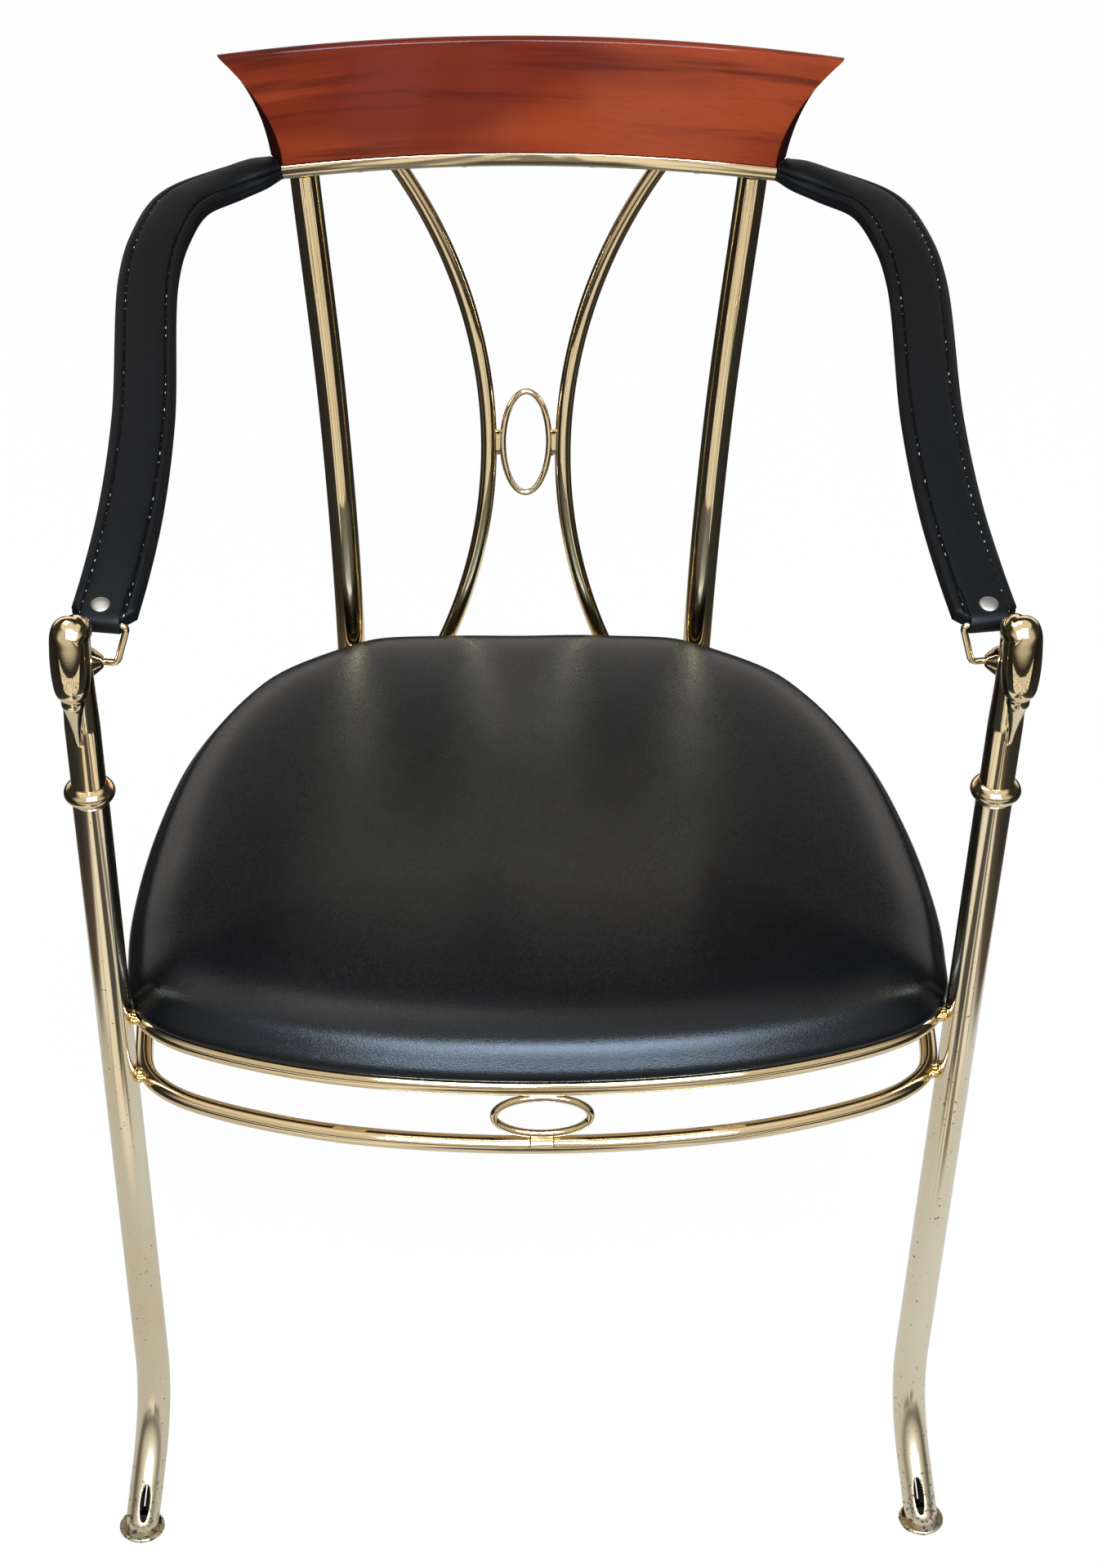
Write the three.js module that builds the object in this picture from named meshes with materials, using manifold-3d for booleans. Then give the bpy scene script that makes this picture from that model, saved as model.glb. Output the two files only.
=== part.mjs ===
// A klismos armchair: brass tube frame, mahogany back rail, leather seat and leather covered arms.
// Millimetres. +X is the sitter's left seen from the front, -Y is the front, +Z is up.
// While it is built, Y = 0 is the plane of the front legs and Z = 0 is the floor.
import * as THREE from "three";
import { mergeVertices } from "three/addons/utils/BufferGeometryUtils.js";
import Module from "manifold-3d";

const wasm = await Module();
wasm.setup();

// Clearances
const fit = 0.3; // between pieces that touch
const mergeShare = 0.001; // of that clearance, under which two points are one
const overrun = 2; // how far a cutter runs past what it cuts

// Front legs: straight tubes that lean in, with the foot kicked forward
const legDiameter = 22.5;
const legWall = 1.6;
const collarHeight = 580;
const collarHalfSpread = 275.5;
const ankleHeight = 67;
const ankleHalfSpread = 260;
const ankleBendRun = 44;
const footHalfSpread = 269.5;
const footReach = 56;
const slotLength = 30;
const slotWidth = 8;
const slotRise = 4;

// Foot discs
const discDiameter = 31;
const discThickness = 3;
const discRimRound = 1.2;

// Collar beads between the legs and the finials
const collarDiameter = 31.4;
const collarBulge = 17.6;

// Gooseneck finials
const stemDiameter = 21.5;
const spigotLength = 26;
const stemLength = 48;
const finialHeight = 127.5;
const neckDiameter = 18.5;
const neckSetBack = 4.5;
const curlRadius = 12.5;
const headDiameter = 26.6;
const headLength = 54;
const headReach = 13.5;
const headTilt = 0.36; // radians forward from upright
const ridgeDiameter = 19.5;
const beakDiameter = 14;
const beakTipDiameter = 3;
const beakTipHeight = 41;
const lugWidth = 11;
const lugHeight = 18;
const lugDepth = 24;
const lugSetIn = 11;
const lugSetBack = 12;
const lugAltitude = 82;
const eyeDiameter = 7.4;
const eyeSetBack = 5.5;

// Rear legs: each is one tube from the back strip to the floor
const postDiameter = 20.6;
const postWall = 1.5;
const postSeatHalfSpread = 128.5;
const postSeatY = 441;
const postRailHalfSpread = 156.8;
const rearFootHalfSpread = 150;
const rearFootY = 507;

// Seat rings
const ringRodDiameter = 11.7;
const upperRingHeight = 402;
const ringSpacing = 47.5; // between the two rings' middle lines
const ringFrontBow = 67;
const ringBackY = 434.5;

// Front and back oval rings
const frontOvalWire = 5;
const frontOvalHalfWidth = 30.4;
const backOvalWire = 4.5;
const backOvalHalfWidth = 16.8;
const backOvalHalfHeight = 38.6;
const backOvalHeight = 558;
const ovalLinkLength = 18;
const frontLinkHeight = 1;
const backLinkDepth = 4.5;

// Bowed rods of the back
const bowRodDiameter = 11.5;
const bowRadius = 360;
const bowHalfGap = 26.9;
const bowWaistHeight = 553;

// Back strip and top rail
const railRadius = 643; // of the concave front face
const railFrontY = 505.7; // of that face at the middle
const stripBottom = 760;
const stripHeight = 10;
const stripDepth = 20;
const railHalfWidth = 174;
const railHornReach = 37.5;
const railHornPower = 1.85;
const railHeight = 84;
const railBottomDepth = 20;
const railTopDepth = 8.5;
const railEdgeRound = 2.6;

// Arms
const armWidth = 39.8;
const armThickness = 9.5;
const armRootWidth = 31;
const armCoreWidth = 22;
const armCoreThickness = 4;
const armTongue = 44;
const armScrewInset = 8; // from the tongue's inner end
const armCoreShort = 8; // how far the core stops short of the tip
const armElbowX = 255.5;
const armElbowY = 352;
const armElbowDrop = 12; // below the strip
const armWaistX = 250;
const armWaistY = 205;
const armWaistDrop = 36;
const armTipSetIn = 11.8; // from the middle of the finial's collar
const armTipY = 23;
const armTipRise = 107;
const panelWidth = 25.5;
const panelThickness = 1.8;
const armCornerClip = 7;

// Looped tab, rivet and link ring at the front end of each arm
const tabWidth = 24;
const tabThickness = 2;
const tabTopLength = 22;
const tabUnderLength = 26;
const rivetInset = 12;
const rivetHeadDiameter = 12;
const rivetHeadHeight = 2.2;
const rivetShankDiameter = 5;
const linkWire = 4.2;
const linkTopHalf = 15.8;
const linkBottomHalf = 11.8;
const linkCornerRound = 3.8;

// Seat
const cushionOverhang = 7;
const cushionBackSetIn = 13;
const cushionEdgeHeight = 20;
const cushionCrown = 14;
const cushionTuck = 6;
const cushionRoundReach = 19;
const boardClearance = 1.5;
const bracketLength = 34;
const bracketWidth = 22;
const bracketThickness = 2.5;
const bracketSetIn = 2.6; // from the ring's middle line inwards

// Screws
const screwHeadDiameter = 8;
const screwHeadHeight = 2.4;
const screwShankDiameter = 3.6;
const seatScrewLength = 9;
const railScrewLength = 30;
const armScrewLength = 8;
const railScrewShares = [0.26, 0.68]; // of the rail's half width

// Facets: sides of round sections, and steps along curves
const tubeSides = 16;
const rodSides = 8;
const bowSides = 10;
const headSides = 14;
const beakSides = 12;
const rivetSides = 12;
const screwHeadSides = 10;
const screwSides = 6;
const ankleSteps = 7;
const postSteps = 12;
const leafHalfSteps = 6;
const beadSteps = 6;
const neckSteps = 10;
const lugBands = 8;
const ovalSteps = 24;
const bowSteps = 14;
const boardSteps = 20;
const tabTurns = 8;
const searchSteps = 40;

const brass = new THREE.MeshStandardMaterial({ color: 0xd8bd78, metalness: 1, roughness: 0.16 });
const mahogany = new THREE.MeshStandardMaterial({ color: 0x7b2a13, metalness: 0, roughness: 0.18 });
const leather = new THREE.MeshStandardMaterial({ color: 0x111214, metalness: 0, roughness: 0.42 });
const nickel = new THREE.MeshStandardMaterial({ color: 0xcfc9bb, metalness: 1, roughness: 0.3 });
const steel = new THREE.MeshStandardMaterial({ color: 0x8d9094, metalness: 1, roughness: 0.4 });
const plywood = new THREE.MeshStandardMaterial({ color: 0xb98d5c, metalness: 0, roughness: 0.8 });

const v3 = (x, y, z) => new THREE.Vector3(x, y, z);
const up = v3(0, 0, 1);
const legRadius = legDiameter / 2;
const postRadius = postDiameter / 2;
const ringRodRadius = ringRodDiameter / 2;
const bowRodRadius = bowRodDiameter / 2;
const legLean = (collarHalfSpread - ankleHalfSpread) / (collarHeight - ankleHeight);
const lowerRingHeight = upperRingHeight - ringSpacing;

// Geometry from points and triangles, turned inside out if its volume comes out negative
function closedGeometry(points, triangles) {
  let volume = 0;
  for (const [a, b, c] of triangles) {
    volume += points[a].dot(v3(0, 0, 0).crossVectors(points[b], points[c]));
  }
  const index = triangles.flatMap(([a, b, c]) => (volume < 0 ? [a, c, b] : [a, b, c]));
  return new THREE.BufferGeometry().setFromPoints(points).setIndex(index);
}

function band(triangles, first, second, count, closed = true) {
  for (let i = 0; i < (closed ? count : count - 1); i++) {
    const j = (i + 1) % count;
    triangles.push([first + i, first + j, second + j], [first + i, second + j, second + i]);
  }
}

// Closes a ring with rungs between its two sides
function cap(triangles, first, count) {
  let i = 0;
  let j = count - 1;
  while (j - i > 1) {
    triangles.push([first + i, first + i + 1, first + j]);
    if (j - i > 2) triangles.push([first + i + 1, first + j - 1, first + j]);
    i++;
    j--;
  }
}

// A solid through rings of points. Looped rings join the last to the first.
function loft(rings, looped = false) {
  const count = rings[0].length;
  const triangles = [];
  for (let k = 0; k + 1 < rings.length; k++) band(triangles, k * count, (k + 1) * count, count);
  const last = (rings.length - 1) * count;
  if (looped) {
    band(triangles, last, 0, count);
  } else {
    const start = [];
    cap(start, 0, count);
    start.forEach(([a, b, c]) => triangles.push([a, c, b]));
    cap(triangles, last, count);
  }
  return closedGeometry(rings.flat(), triangles);
}

// An open ended hollow through matching outer and inner rings, optionally shut at the far end
function shell(outer, inner, shutEnd = false) {
  const rings = shutEnd ? [...inner].reverse().concat(outer) : [...outer, ...[...inner].reverse()];
  return loft(rings, !shutEnd);
}

// Points of a circle or of any section, set square to a path
function frameAt(tangent, side) {
  const across = side.clone().addScaledVector(tangent, -side.dot(tangent)).normalize();
  return { across, over: v3(0, 0, 0).crossVectors(tangent, across).normalize() };
}

function roundRing(centre, tangent, side, radius, sides) {
  const { across, over } = frameAt(tangent, side);
  return Array.from({ length: sides }, (_, i) => {
    const turn = (2 * Math.PI * i) / sides;
    return centre
      .clone()
      .addScaledVector(across, radius * Math.cos(turn))
      .addScaledVector(over, radius * Math.sin(turn));
  });
}

// A ring cut flush with a plane: its points slide along the tube until one coordinate fits
function flush(ring, tangent, value, axis = "z") {
  return ring.map((p) => p.clone().addScaledVector(tangent, (value - p[axis]) / tangent[axis]));
}

// Even stations along a curve, each with its point and tangent
function stations(curve, steps, closed = false) {
  return Array.from({ length: closed ? steps : steps + 1 }, (_, i) => {
    const share = i / steps;
    return { point: curve.getPointAt(share), tangent: curve.getTangentAt(share), share };
  });
}

function mirrored(geometry) {
  const copy = geometry.clone();
  copy.scale(-1, 1, 1);
  const index = Array.from(copy.index.array);
  for (let i = 0; i < index.length; i += 3) [index[i], index[i + 1]] = [index[i + 1], index[i]];
  return copy.setIndex(index);
}

// Booleans. Seams and poles are merged first.
function toSolid(geometry) {
  const bare = geometry.clone();
  bare.deleteAttribute("normal");
  bare.deleteAttribute("uv");
  const merged = mergeVertices(bare, fit * mergeShare);
  const places = merged.attributes.position;
  const points = Array.from({ length: places.count }, (_, i) => v3().fromBufferAttribute(places, i));
  const triangles = [];
  for (let i = 0; i < merged.index.count; i += 3) {
    const [a, b, c] = [0, 1, 2].map((k) => merged.index.getX(i + k));
    if (a !== b && b !== c && c !== a) triangles.push([a, b, c]);
  }
  const whole = closedGeometry(points, triangles);
  return new wasm.Manifold(
    new wasm.Mesh({
      numProp: 3,
      vertProperties: whole.attributes.position.array,
      triVerts: new Uint32Array(whole.index.array),
    }),
  );
}

function toGeometry(solid) {
  const mesh = solid.getMesh();
  return new THREE.BufferGeometry()
    .setAttribute("position", new THREE.BufferAttribute(new Float32Array(mesh.vertProperties), 3))
    .setIndex(Array.from(mesh.triVerts));
}

const joined = (...parts) => toGeometry(parts.map(toSolid).reduce((a, b) => a.add(b)));
const cut = (body, ...cutters) =>
  toGeometry(cutters.map(toSolid).reduce((a, b) => a.subtract(b), toSolid(body)));

// A round bar between two points
function bar(from, to, radius, sides = rodSides) {
  const along = to.clone().sub(from).normalize();
  const side = Math.abs(along.x) > 0.9 ? up : v3(1, 0, 0);
  return loft([from, to].map((p) => roundRing(p, along, side, radius, sides)));
}

const placed = (geometry, at) => geometry.translate(at.x, at.y, at.z);
const cleaned = (geometry) => toGeometry(toSolid(geometry));

const chair = new THREE.Group();
const here = v3(0, 0, 0);

function add(name, geometry, material, place = here) {
  const flat = geometry.index ? geometry.toNonIndexed() : geometry;
  flat.computeVertexNormals();
  const mesh = new THREE.Mesh(flat, material);
  mesh.name = name;
  mesh.position.copy(place);
  chair.add(mesh);
}

function addPair(name, rightGeometry, material, rightPlace = here) {
  add("right_" + name, rightGeometry, material, rightPlace);
  add("left_" + name, mirrored(rightGeometry), material, v3(-rightPlace.x, rightPlace.y, rightPlace.z));
}

// Front legs. The right one is built at +X, and the left one mirrors it.
const legAxisX = (height) => collarHalfSpread + (height - collarHeight) * legLean;
const ankle = v3(ankleHalfSpread, 0, ankleHeight);
const frontFoot = v3(footHalfSpread, -footReach, discThickness + fit);
const collarRadius = collarDiameter / 2;
const collarHalfHeight = (collarBulge / 2) * Math.sqrt(1 - (legRadius / collarRadius) ** 2);

function legPath() {
  const shank = v3(legLean, 0, 1).normalize();
  const kick = frontFoot.clone().sub(ankle).normalize();
  const bendTop = ankle.clone().addScaledVector(shank, ankleBendRun);
  const bendEnd = ankle.clone().addScaledVector(kick, ankleBendRun);
  const top = v3(legAxisX(collarHeight - collarHalfHeight - fit), 0, collarHeight - collarHalfHeight - fit);
  const path = new THREE.CurvePath();
  path.add(new THREE.LineCurve3(top, bendTop));
  path.add(new THREE.QuadraticBezierCurve3(bendTop, ankle, bendEnd));
  path.add(new THREE.LineCurve3(bendEnd, frontFoot));
  return path;
}

function bentTube(path, bendSteps, radius, wall, sides) {
  const tubeRings = (r) => {
    const rings = [];
    path.curves.forEach((curve, k) => {
      const steps = curve.isLineCurve3 ? 1 : bendSteps;
      for (let i = k ? 1 : 0; i <= steps; i++) {
        const point = curve.getPoint(i / steps);
        const tangent = curve.getTangent(i / steps);
        rings.push({ ring: roundRing(point, tangent, v3(1, 0, 0), r, sides), tangent, height: point.z });
      }
    });
    const last = rings[rings.length - 1];
    last.ring = flush(last.ring, last.tangent, last.height);
    return rings.map((r0) => r0.ring);
  };
  return shell(tubeRings(radius), tubeRings(radius - wall));
}

// The leaf shaped slot low on the front of each foot
function footSlot() {
  const along = ankle.clone().sub(frontFoot).normalize();
  const out = v3(0, -1, 0).addScaledVector(along, along.y).normalize();
  const across = v3(0, 0, 0).crossVectors(along, out).normalize();
  const leaf = [];
  for (let i = 0; i <= 2 * leafHalfSteps; i++) {
    const turn = (Math.PI * i) / leafHalfSteps;
    const width = (slotWidth / 2) * Math.sin(turn);
    leaf.push([width, (slotLength / 2) * (1 - Math.cos(turn))]);
  }
  leaf.pop();
  const base = frontFoot.clone().addScaledVector(along, slotRise + legRadius);
  const place = (depth) =>
    leaf.map(([w, l]) =>
      base.clone().addScaledVector(along, l).addScaledVector(across, w).addScaledVector(out, depth),
    );
  return loft([place(legRadius / 2), place(legRadius + overrun)]);
}

addPair("front_leg", cut(bentTube(legPath(), ankleSteps, legRadius, legWall, tubeSides), footSlot()), brass);

// Rear legs
const railFaceY = (x) => railFrontY - railRadius + Math.sqrt(railRadius ** 2 - x ** 2);
const postTop = v3(postRailHalfSpread, railFaceY(postRailHalfSpread) + stripDepth / 2, stripBottom - fit);
const postSeat = v3(postSeatHalfSpread, postSeatY, upperRingHeight);
const rearFoot = v3(rearFootHalfSpread, rearFootY, discThickness + fit);

const waistShares = [0.36, 0.5, 0.5]; // of the way from the seat to the strip
const bellyShares = [0.04, 0.02, 0.36]; // of the way from the seat to the foot
const calfShares = [0.5, 0.46, 0.76];

// The point at separate shares of the way along X, Y and Z
function between(from, to, [x, y, z]) {
  return v3(from.x + (to.x - from.x) * x, from.y + (to.y - from.y) * y, from.z + (to.z - from.z) * z);
}

const postCurve = new THREE.CatmullRomCurve3(
  [
    postTop,
    between(postSeat, postTop, waistShares),
    postSeat,
    between(postSeat, rearFoot, bellyShares),
    between(postSeat, rearFoot, calfShares),
    rearFoot,
  ],
  false,
  "centripetal",
);

function postAt(height) {
  let low = 0;
  let high = 1;
  for (let i = 0; i < searchSteps; i++) {
    const middle = (low + high) / 2;
    if (postCurve.getPointAt(middle).z > height) low = middle;
    else high = middle;
  }
  return postCurve.getPointAt(low);
}

function postTube() {
  const rings = (radius) =>
    stations(postCurve, postSteps).map(({ point, tangent, share }) => {
      const ring = roundRing(point, tangent, v3(1, 0, 0), radius, tubeSides);
      return share === 0 || share === 1 ? flush(ring, tangent, point.z) : ring;
    });
  return shell(rings(postRadius), rings(postRadius - postWall));
}

addPair("rear_leg", postTube(), brass);

// Arm path: it leaves the strip's end, turns forward at the elbow and runs down to the tip
const railEnd = Math.asin(railHalfWidth / railRadius);
const railEndAlong = v3(Math.cos(railEnd), -Math.sin(railEnd), 0);
const railEndAcross = v3(Math.sin(railEnd), Math.cos(railEnd), 0);
const armRoot = v3(railHalfWidth, railFaceY(railHalfWidth) + stripDepth / 2, stripBottom + stripHeight / 2);
const armStart = armRoot.clone().addScaledVector(railEndAlong, fit);
const armElbow = v3(armElbowX, armElbowY, stripBottom - armElbowDrop);
const armWaist = v3(armWaistX, armWaistY, stripBottom - armWaistDrop);
const armTip = v3(collarHalfSpread - armTipSetIn, armTipY, collarHeight + armTipRise);
const elbowShares = [[0.44, 0.136, 0.28], [0.772, 0.34, 0.3], [0.936, 0.663, 0.54]];
const tipShares = [[0.168, 0.467, 0.432], [0.562, 0.786, 0.73]];

const armCurve = new THREE.CatmullRomCurve3(
  [
    armStart,
    ...elbowShares.map((shares) => between(armStart, armElbow, shares)),
    armElbow,
    armWaist,
    ...tipShares.map((shares) => between(armWaist, armTip, shares)),
    armTip,
  ],
  false,
  "centripetal",
);
const armLength = armCurve.getLength();

function armFrame(share) {
  const tangent = armCurve.getTangentAt(share);
  const across = v3(0, 0, 0).crossVectors(tangent, up).normalize();
  const over = v3(0, 0, 0).crossVectors(across, tangent).normalize();
  return { point: armCurve.getPointAt(share), tangent, across, over };
}

const tipFrame = armFrame(1);

// Foot discs
function disc() {
  const r = discDiameter / 2;
  const profile = [
    [0, 0],
    [r - discRimRound, 0],
    [r, discRimRound],
    [r - discRimRound / 2, discThickness - discRimRound / 4],
    [r - 2 * discRimRound, discThickness],
    [0, discThickness],
  ];
  const lathe = new THREE.LatheGeometry(profile.map(([x, y]) => new THREE.Vector2(x, y)), tubeSides);
  return lathe.rotateX(Math.PI / 2);
}

addPair("front_foot", cleaned(disc()), brass, v3(frontFoot.x, frontFoot.y, 0));
addPair("rear_foot", cleaned(disc()), brass, v3(rearFoot.x, rearFoot.y, 0));

// Collar beads, bored for the finial's spigot
const spigotRadius = legRadius - legWall - fit;

function collarBead() {
  const rise = Math.asin(Math.min(1, collarHalfHeight / (collarBulge / 2)));
  const profile = [[spigotRadius + fit, collarHalfHeight], [spigotRadius + fit, -collarHalfHeight]];
  for (let i = 0; i <= beadSteps; i++) {
    const turn = -rise + (2 * rise * i) / beadSteps;
    profile.push([collarRadius * Math.cos(turn), (collarBulge / 2) * Math.sin(turn)]);
  }
  profile.push(profile[0]);
  const lathe = new THREE.LatheGeometry(profile.map(([x, y]) => new THREE.Vector2(x, y)), tubeSides);
  return lathe.rotateX(Math.PI / 2);
}

const tilt = Math.atan(legLean);
const legTop = v3(collarHalfSpread, 0, collarHeight);
const leaning = (geometry) => geometry.rotateY(tilt);
addPair("collar", leaning(cleaned(collarBead())), brass, legTop);

// Finials. Built about the leg's axis: reach is forward, height is from the collar's middle.
const at = (reach, height, sideways = 0) => v3(sideways, -reach, height);

const swayShare = 0.4; // of the neck's set-back, halfway up to its curl
const curlShares = [[0, 0], [0.3, 0.72], [1, 1], [1.7, 0.72]]; // reach and rise, of the curl's radius
function neck() {
  const steps = [
    [-spigotLength, spigotRadius - fit],
    [-spigotLength + fit, spigotRadius],
    [collarHalfHeight + fit, spigotRadius],
    [collarHalfHeight + fit, stemDiameter / 2],
    [stemLength, stemDiameter / 2],
  ];
  const rings = steps.map(([h, r]) => roundRing(at(0, h), up, v3(1, 0, 0), r, tubeSides));
  const top = finialHeight - neckDiameter / 2;
  const bend = top - curlRadius;
  const curl = curlShares.map(([reach, rise]) =>
    at(-neckSetBack + curlRadius * reach, bend + curlRadius * rise),
  );
  const sway = at(-neckSetBack * swayShare, (stemLength + bend) / 2);
  const curve = new THREE.CatmullRomCurve3([at(0, stemLength), sway, ...curl], false, "centripetal");
  const slim = (share) => (stemDiameter + (neckDiameter - stemDiameter) * Math.min(1, share * 2)) / 2;
  stations(curve, neckSteps).slice(1).forEach(({ point, tangent, share }) => {
    rings.push(roundRing(point, tangent, v3(1, 0, 0), slim(share), tubeSides));
  });
  return loft(rings);
}

// Turned shapes: pairs of distance along the axis and radius, from the top down
function turned(pairs, from, lean) {
  const profile = pairs.map(([along, radius]) => new THREE.Vector2(radius, -along));
  const lathe = new THREE.LatheGeometry(profile.reverse(), headSides).rotateX(Math.PI / 2);
  return placed(cleaned(lathe.rotateX(-lean)), from);
}

// Head: shares of its length and radius, down to the ridge where the beak begins
const headShares = [[0, 0], [0.03, 0.36], [0.12, 0.7], [0.26, 0.92], [0.44, 1], [0.64, 0.96], [0.82, 0.8]];
const ridgeShare = 0.9;
function head() {
  const pairs = headShares.map(([along, wide]) => [along * headLength, (wide * headDiameter) / 2]);
  pairs.push([headLength * ridgeShare, ridgeDiameter / 2], [headLength, beakDiameter / 2], [headLength, 0]);
  return turned(pairs, at(headReach - (headLength / 2) * Math.sin(headTilt), finialHeight), headTilt);
}

const beakShares = [[0, 1], [0.3, 0.78], [0.6, 0.48], [0.9, 0.28], [1, 0.1]]; // along it, of its radius
function beak() {
  const root = at(headReach + (headLength / 2) * Math.sin(headTilt), finialHeight - headLength * ridgeShare);
  const tip = at(stemDiameter / 2 + beakTipDiameter / 2 + fit, beakTipHeight);
  const along = tip.clone().sub(root);
  const rings = beakShares.map(([share, wide]) => {
    const radius = Math.max(beakTipDiameter / 4, (beakDiameter / 2) * wide);
    const centre = root.clone().addScaledVector(along, share);
    return roundRing(centre, along.clone().normalize(), v3(1, 0, 0), radius, beakSides);
  });
  return loft(rings);
}

const lugCentre = at(-lugSetBack, lugAltitude, -lugSetIn);
const eyeCentre = at(-lugSetBack - eyeSetBack, lugAltitude, -lugSetIn);

function lug() {
  const ball = new THREE.SphereGeometry(1, beakSides, lugBands);
  ball.scale(lugWidth / 2, lugDepth / 2, lugHeight / 2);
  return placed(cleaned(ball), lugCentre);
}

// The eye is bored along the link's bar
const eye = eyeCentre.applyAxisAngle(v3(0, 1, 0), tilt).add(legTop);
const eyeBore = bar(
  eye.clone().addScaledVector(tipFrame.across, -lugWidth),
  eye.clone().addScaledVector(tipFrame.across, lugWidth),
  eyeDiameter / 2,
  tubeSides,
);
const finial = placed(leaning(joined(neck(), head(), beak(), lug())), legTop);
addPair("finial", cut(finial, eyeBore), brass);

// Seat rings. One outline serves both: it leans on the legs and the rear legs at its own height.
const legContactAngle = 0.35;
const postContactAngle = 0.93;
const frontShares = [[0.5, 0.83], [0.835, 0.44], [0.945, 0.19]]; // of the leg contact's x, of the bow
const sideShares = [[1.018, 0.1], [1.02, 0.21], [0.985, 0.42], [0.905, 0.635], [0.775, 0.8], [0.6, 0.93]];
const backShare = 0.5;

function ringOutline(height) {
  const legReach = legRadius + ringRodRadius + fit;
  const legX = legAxisX(height) - legReach * Math.cos(legContactAngle);
  const legY = legReach * Math.sin(legContactAngle);
  const post = postAt(height);
  const postReach = postRadius + ringRodRadius + fit;
  const postX = post.x - postReach * Math.cos(postContactAngle);
  const postY = post.y - postReach * Math.sin(postContactAngle);
  const half = [
    ...frontShares.map(([x, y]) => [x * legX, -y * ringFrontBow]),
    [legX, legY],
    ...sideShares.map(([x, y]) => [x * legX, legY + y * (ringBackY - legY)]),
    [postX, postY],
    [postX * backShare, ringBackY],
  ];
  const points = [
    v3(0, -ringFrontBow, height),
    ...half.map(([x, y]) => v3(x, y, height)),
    v3(0, ringBackY, height),
    ...half.reverse().map(([x, y]) => v3(-x, y, height)),
  ];
  return new THREE.CatmullRomCurve3(points, true, "centripetal");
}

// Stations at every control point and evenly between them
function outlinePoints(curve, perSpan) {
  const steps = curve.points.length * perSpan;
  return Array.from({ length: steps }, (_, i) => ({
    point: curve.getPoint(i / steps),
    tangent: curve.getTangent(i / steps),
  }));
}

const spanSteps = 2;
function seatRing(height) {
  const rings = outlinePoints(ringOutline(height), spanSteps).map(({ point, tangent }) =>
    roundRing(point, tangent, up, ringRodRadius, rodSides),
  );
  return loft(rings, true);
}
add("upper_seat_ring", seatRing(upperRingHeight), brass);
add("lower_seat_ring", seatRing(lowerRingHeight), brass);

// Oval rings are ellipses of wire in a plane given by its two half axes
function ovalRing(halfAcross, halfUp, wire) {
  const rings = Array.from({ length: ovalSteps }, (_, i) => {
    const turn = (2 * Math.PI * i) / ovalSteps;
    const point = halfAcross.clone().multiplyScalar(Math.cos(turn)).addScaledVector(halfUp, Math.sin(turn));
    const tangent = halfUp
      .clone()
      .multiplyScalar(Math.cos(turn))
      .addScaledVector(halfAcross, -Math.sin(turn))
      .normalize();
    const side = v3(0, 0, 0).crossVectors(halfAcross, halfUp).normalize();
    return roundRing(point, tangent, side, wire / 2, rodSides);
  });
  return loft(rings, true);
}

const box = (width, depth, height) => cleaned(new THREE.BoxGeometry(width, depth, height));

// Front oval, brazed between the two seat rings through a short link above and below
const ringGap = upperRingHeight - lowerRingHeight - ringRodDiameter;
const frontOvalHalfHeight = ringGap / 2 - frontLinkHeight - 2 * fit - frontOvalWire / 2;
const frontOvalCentre = v3(0, -ringFrontBow, (upperRingHeight + lowerRingHeight) / 2);
add(
  "front_oval_ring",
  ovalRing(v3(frontOvalHalfWidth, 0, 0), v3(0, 0, frontOvalHalfHeight), frontOvalWire),
  brass,
  frontOvalCentre,
);
for (const [name, side] of [["upper", 1], ["lower", -1]]) {
  const lift = side * (ringGap / 2 - fit - frontLinkHeight / 2);
  const link = box(ovalLinkLength, frontOvalWire, frontLinkHeight);
  add("front_" + name + "_link", link, brass, frontOvalCentre.clone().add(v3(0, 0, lift)));
}

// Bowed rods: arcs of a circle that stand behind the upper ring and lean back to the strip
const bowFoot = upperRingHeight - ringRodRadius;
const bowTop = stripBottom - fit;
const bowX = (height) => bowHalfGap + bowRadius - Math.sqrt(bowRadius ** 2 - (height - bowWaistHeight) ** 2);
const bowFootY = ringBackY + ringRodRadius + bowRodRadius + fit;
const bowTopY = railFaceY(bowX(bowTop)) + stripDepth / 2;
const bowY = (height) =>
  bowFootY + ((bowTopY - bowFootY) * Math.max(0, height - upperRingHeight)) / (bowTop - upperRingHeight);

function bowedRod() {
  const rings = [];
  const nudge = (bowTop - bowFoot) / bowSteps / 2;
  for (let i = 0; i <= bowSteps; i++) {
    const height = bowFoot + ((bowTop - bowFoot) * i) / bowSteps;
    const point = v3(bowX(height), bowY(height), height);
    const tangent = v3(
      bowX(height + nudge) - bowX(height - nudge),
      bowY(height + nudge) - bowY(height - nudge),
      2 * nudge,
    ).normalize();
    const ring = roundRing(point, tangent, v3(1, 0, 0), bowRodRadius, bowSides);
    rings.push(i === 0 || i === bowSteps ? flush(ring, tangent, height) : ring);
  }
  return loft(rings);
}
addPair("bowed_rod", bowedRod(), brass);

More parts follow.
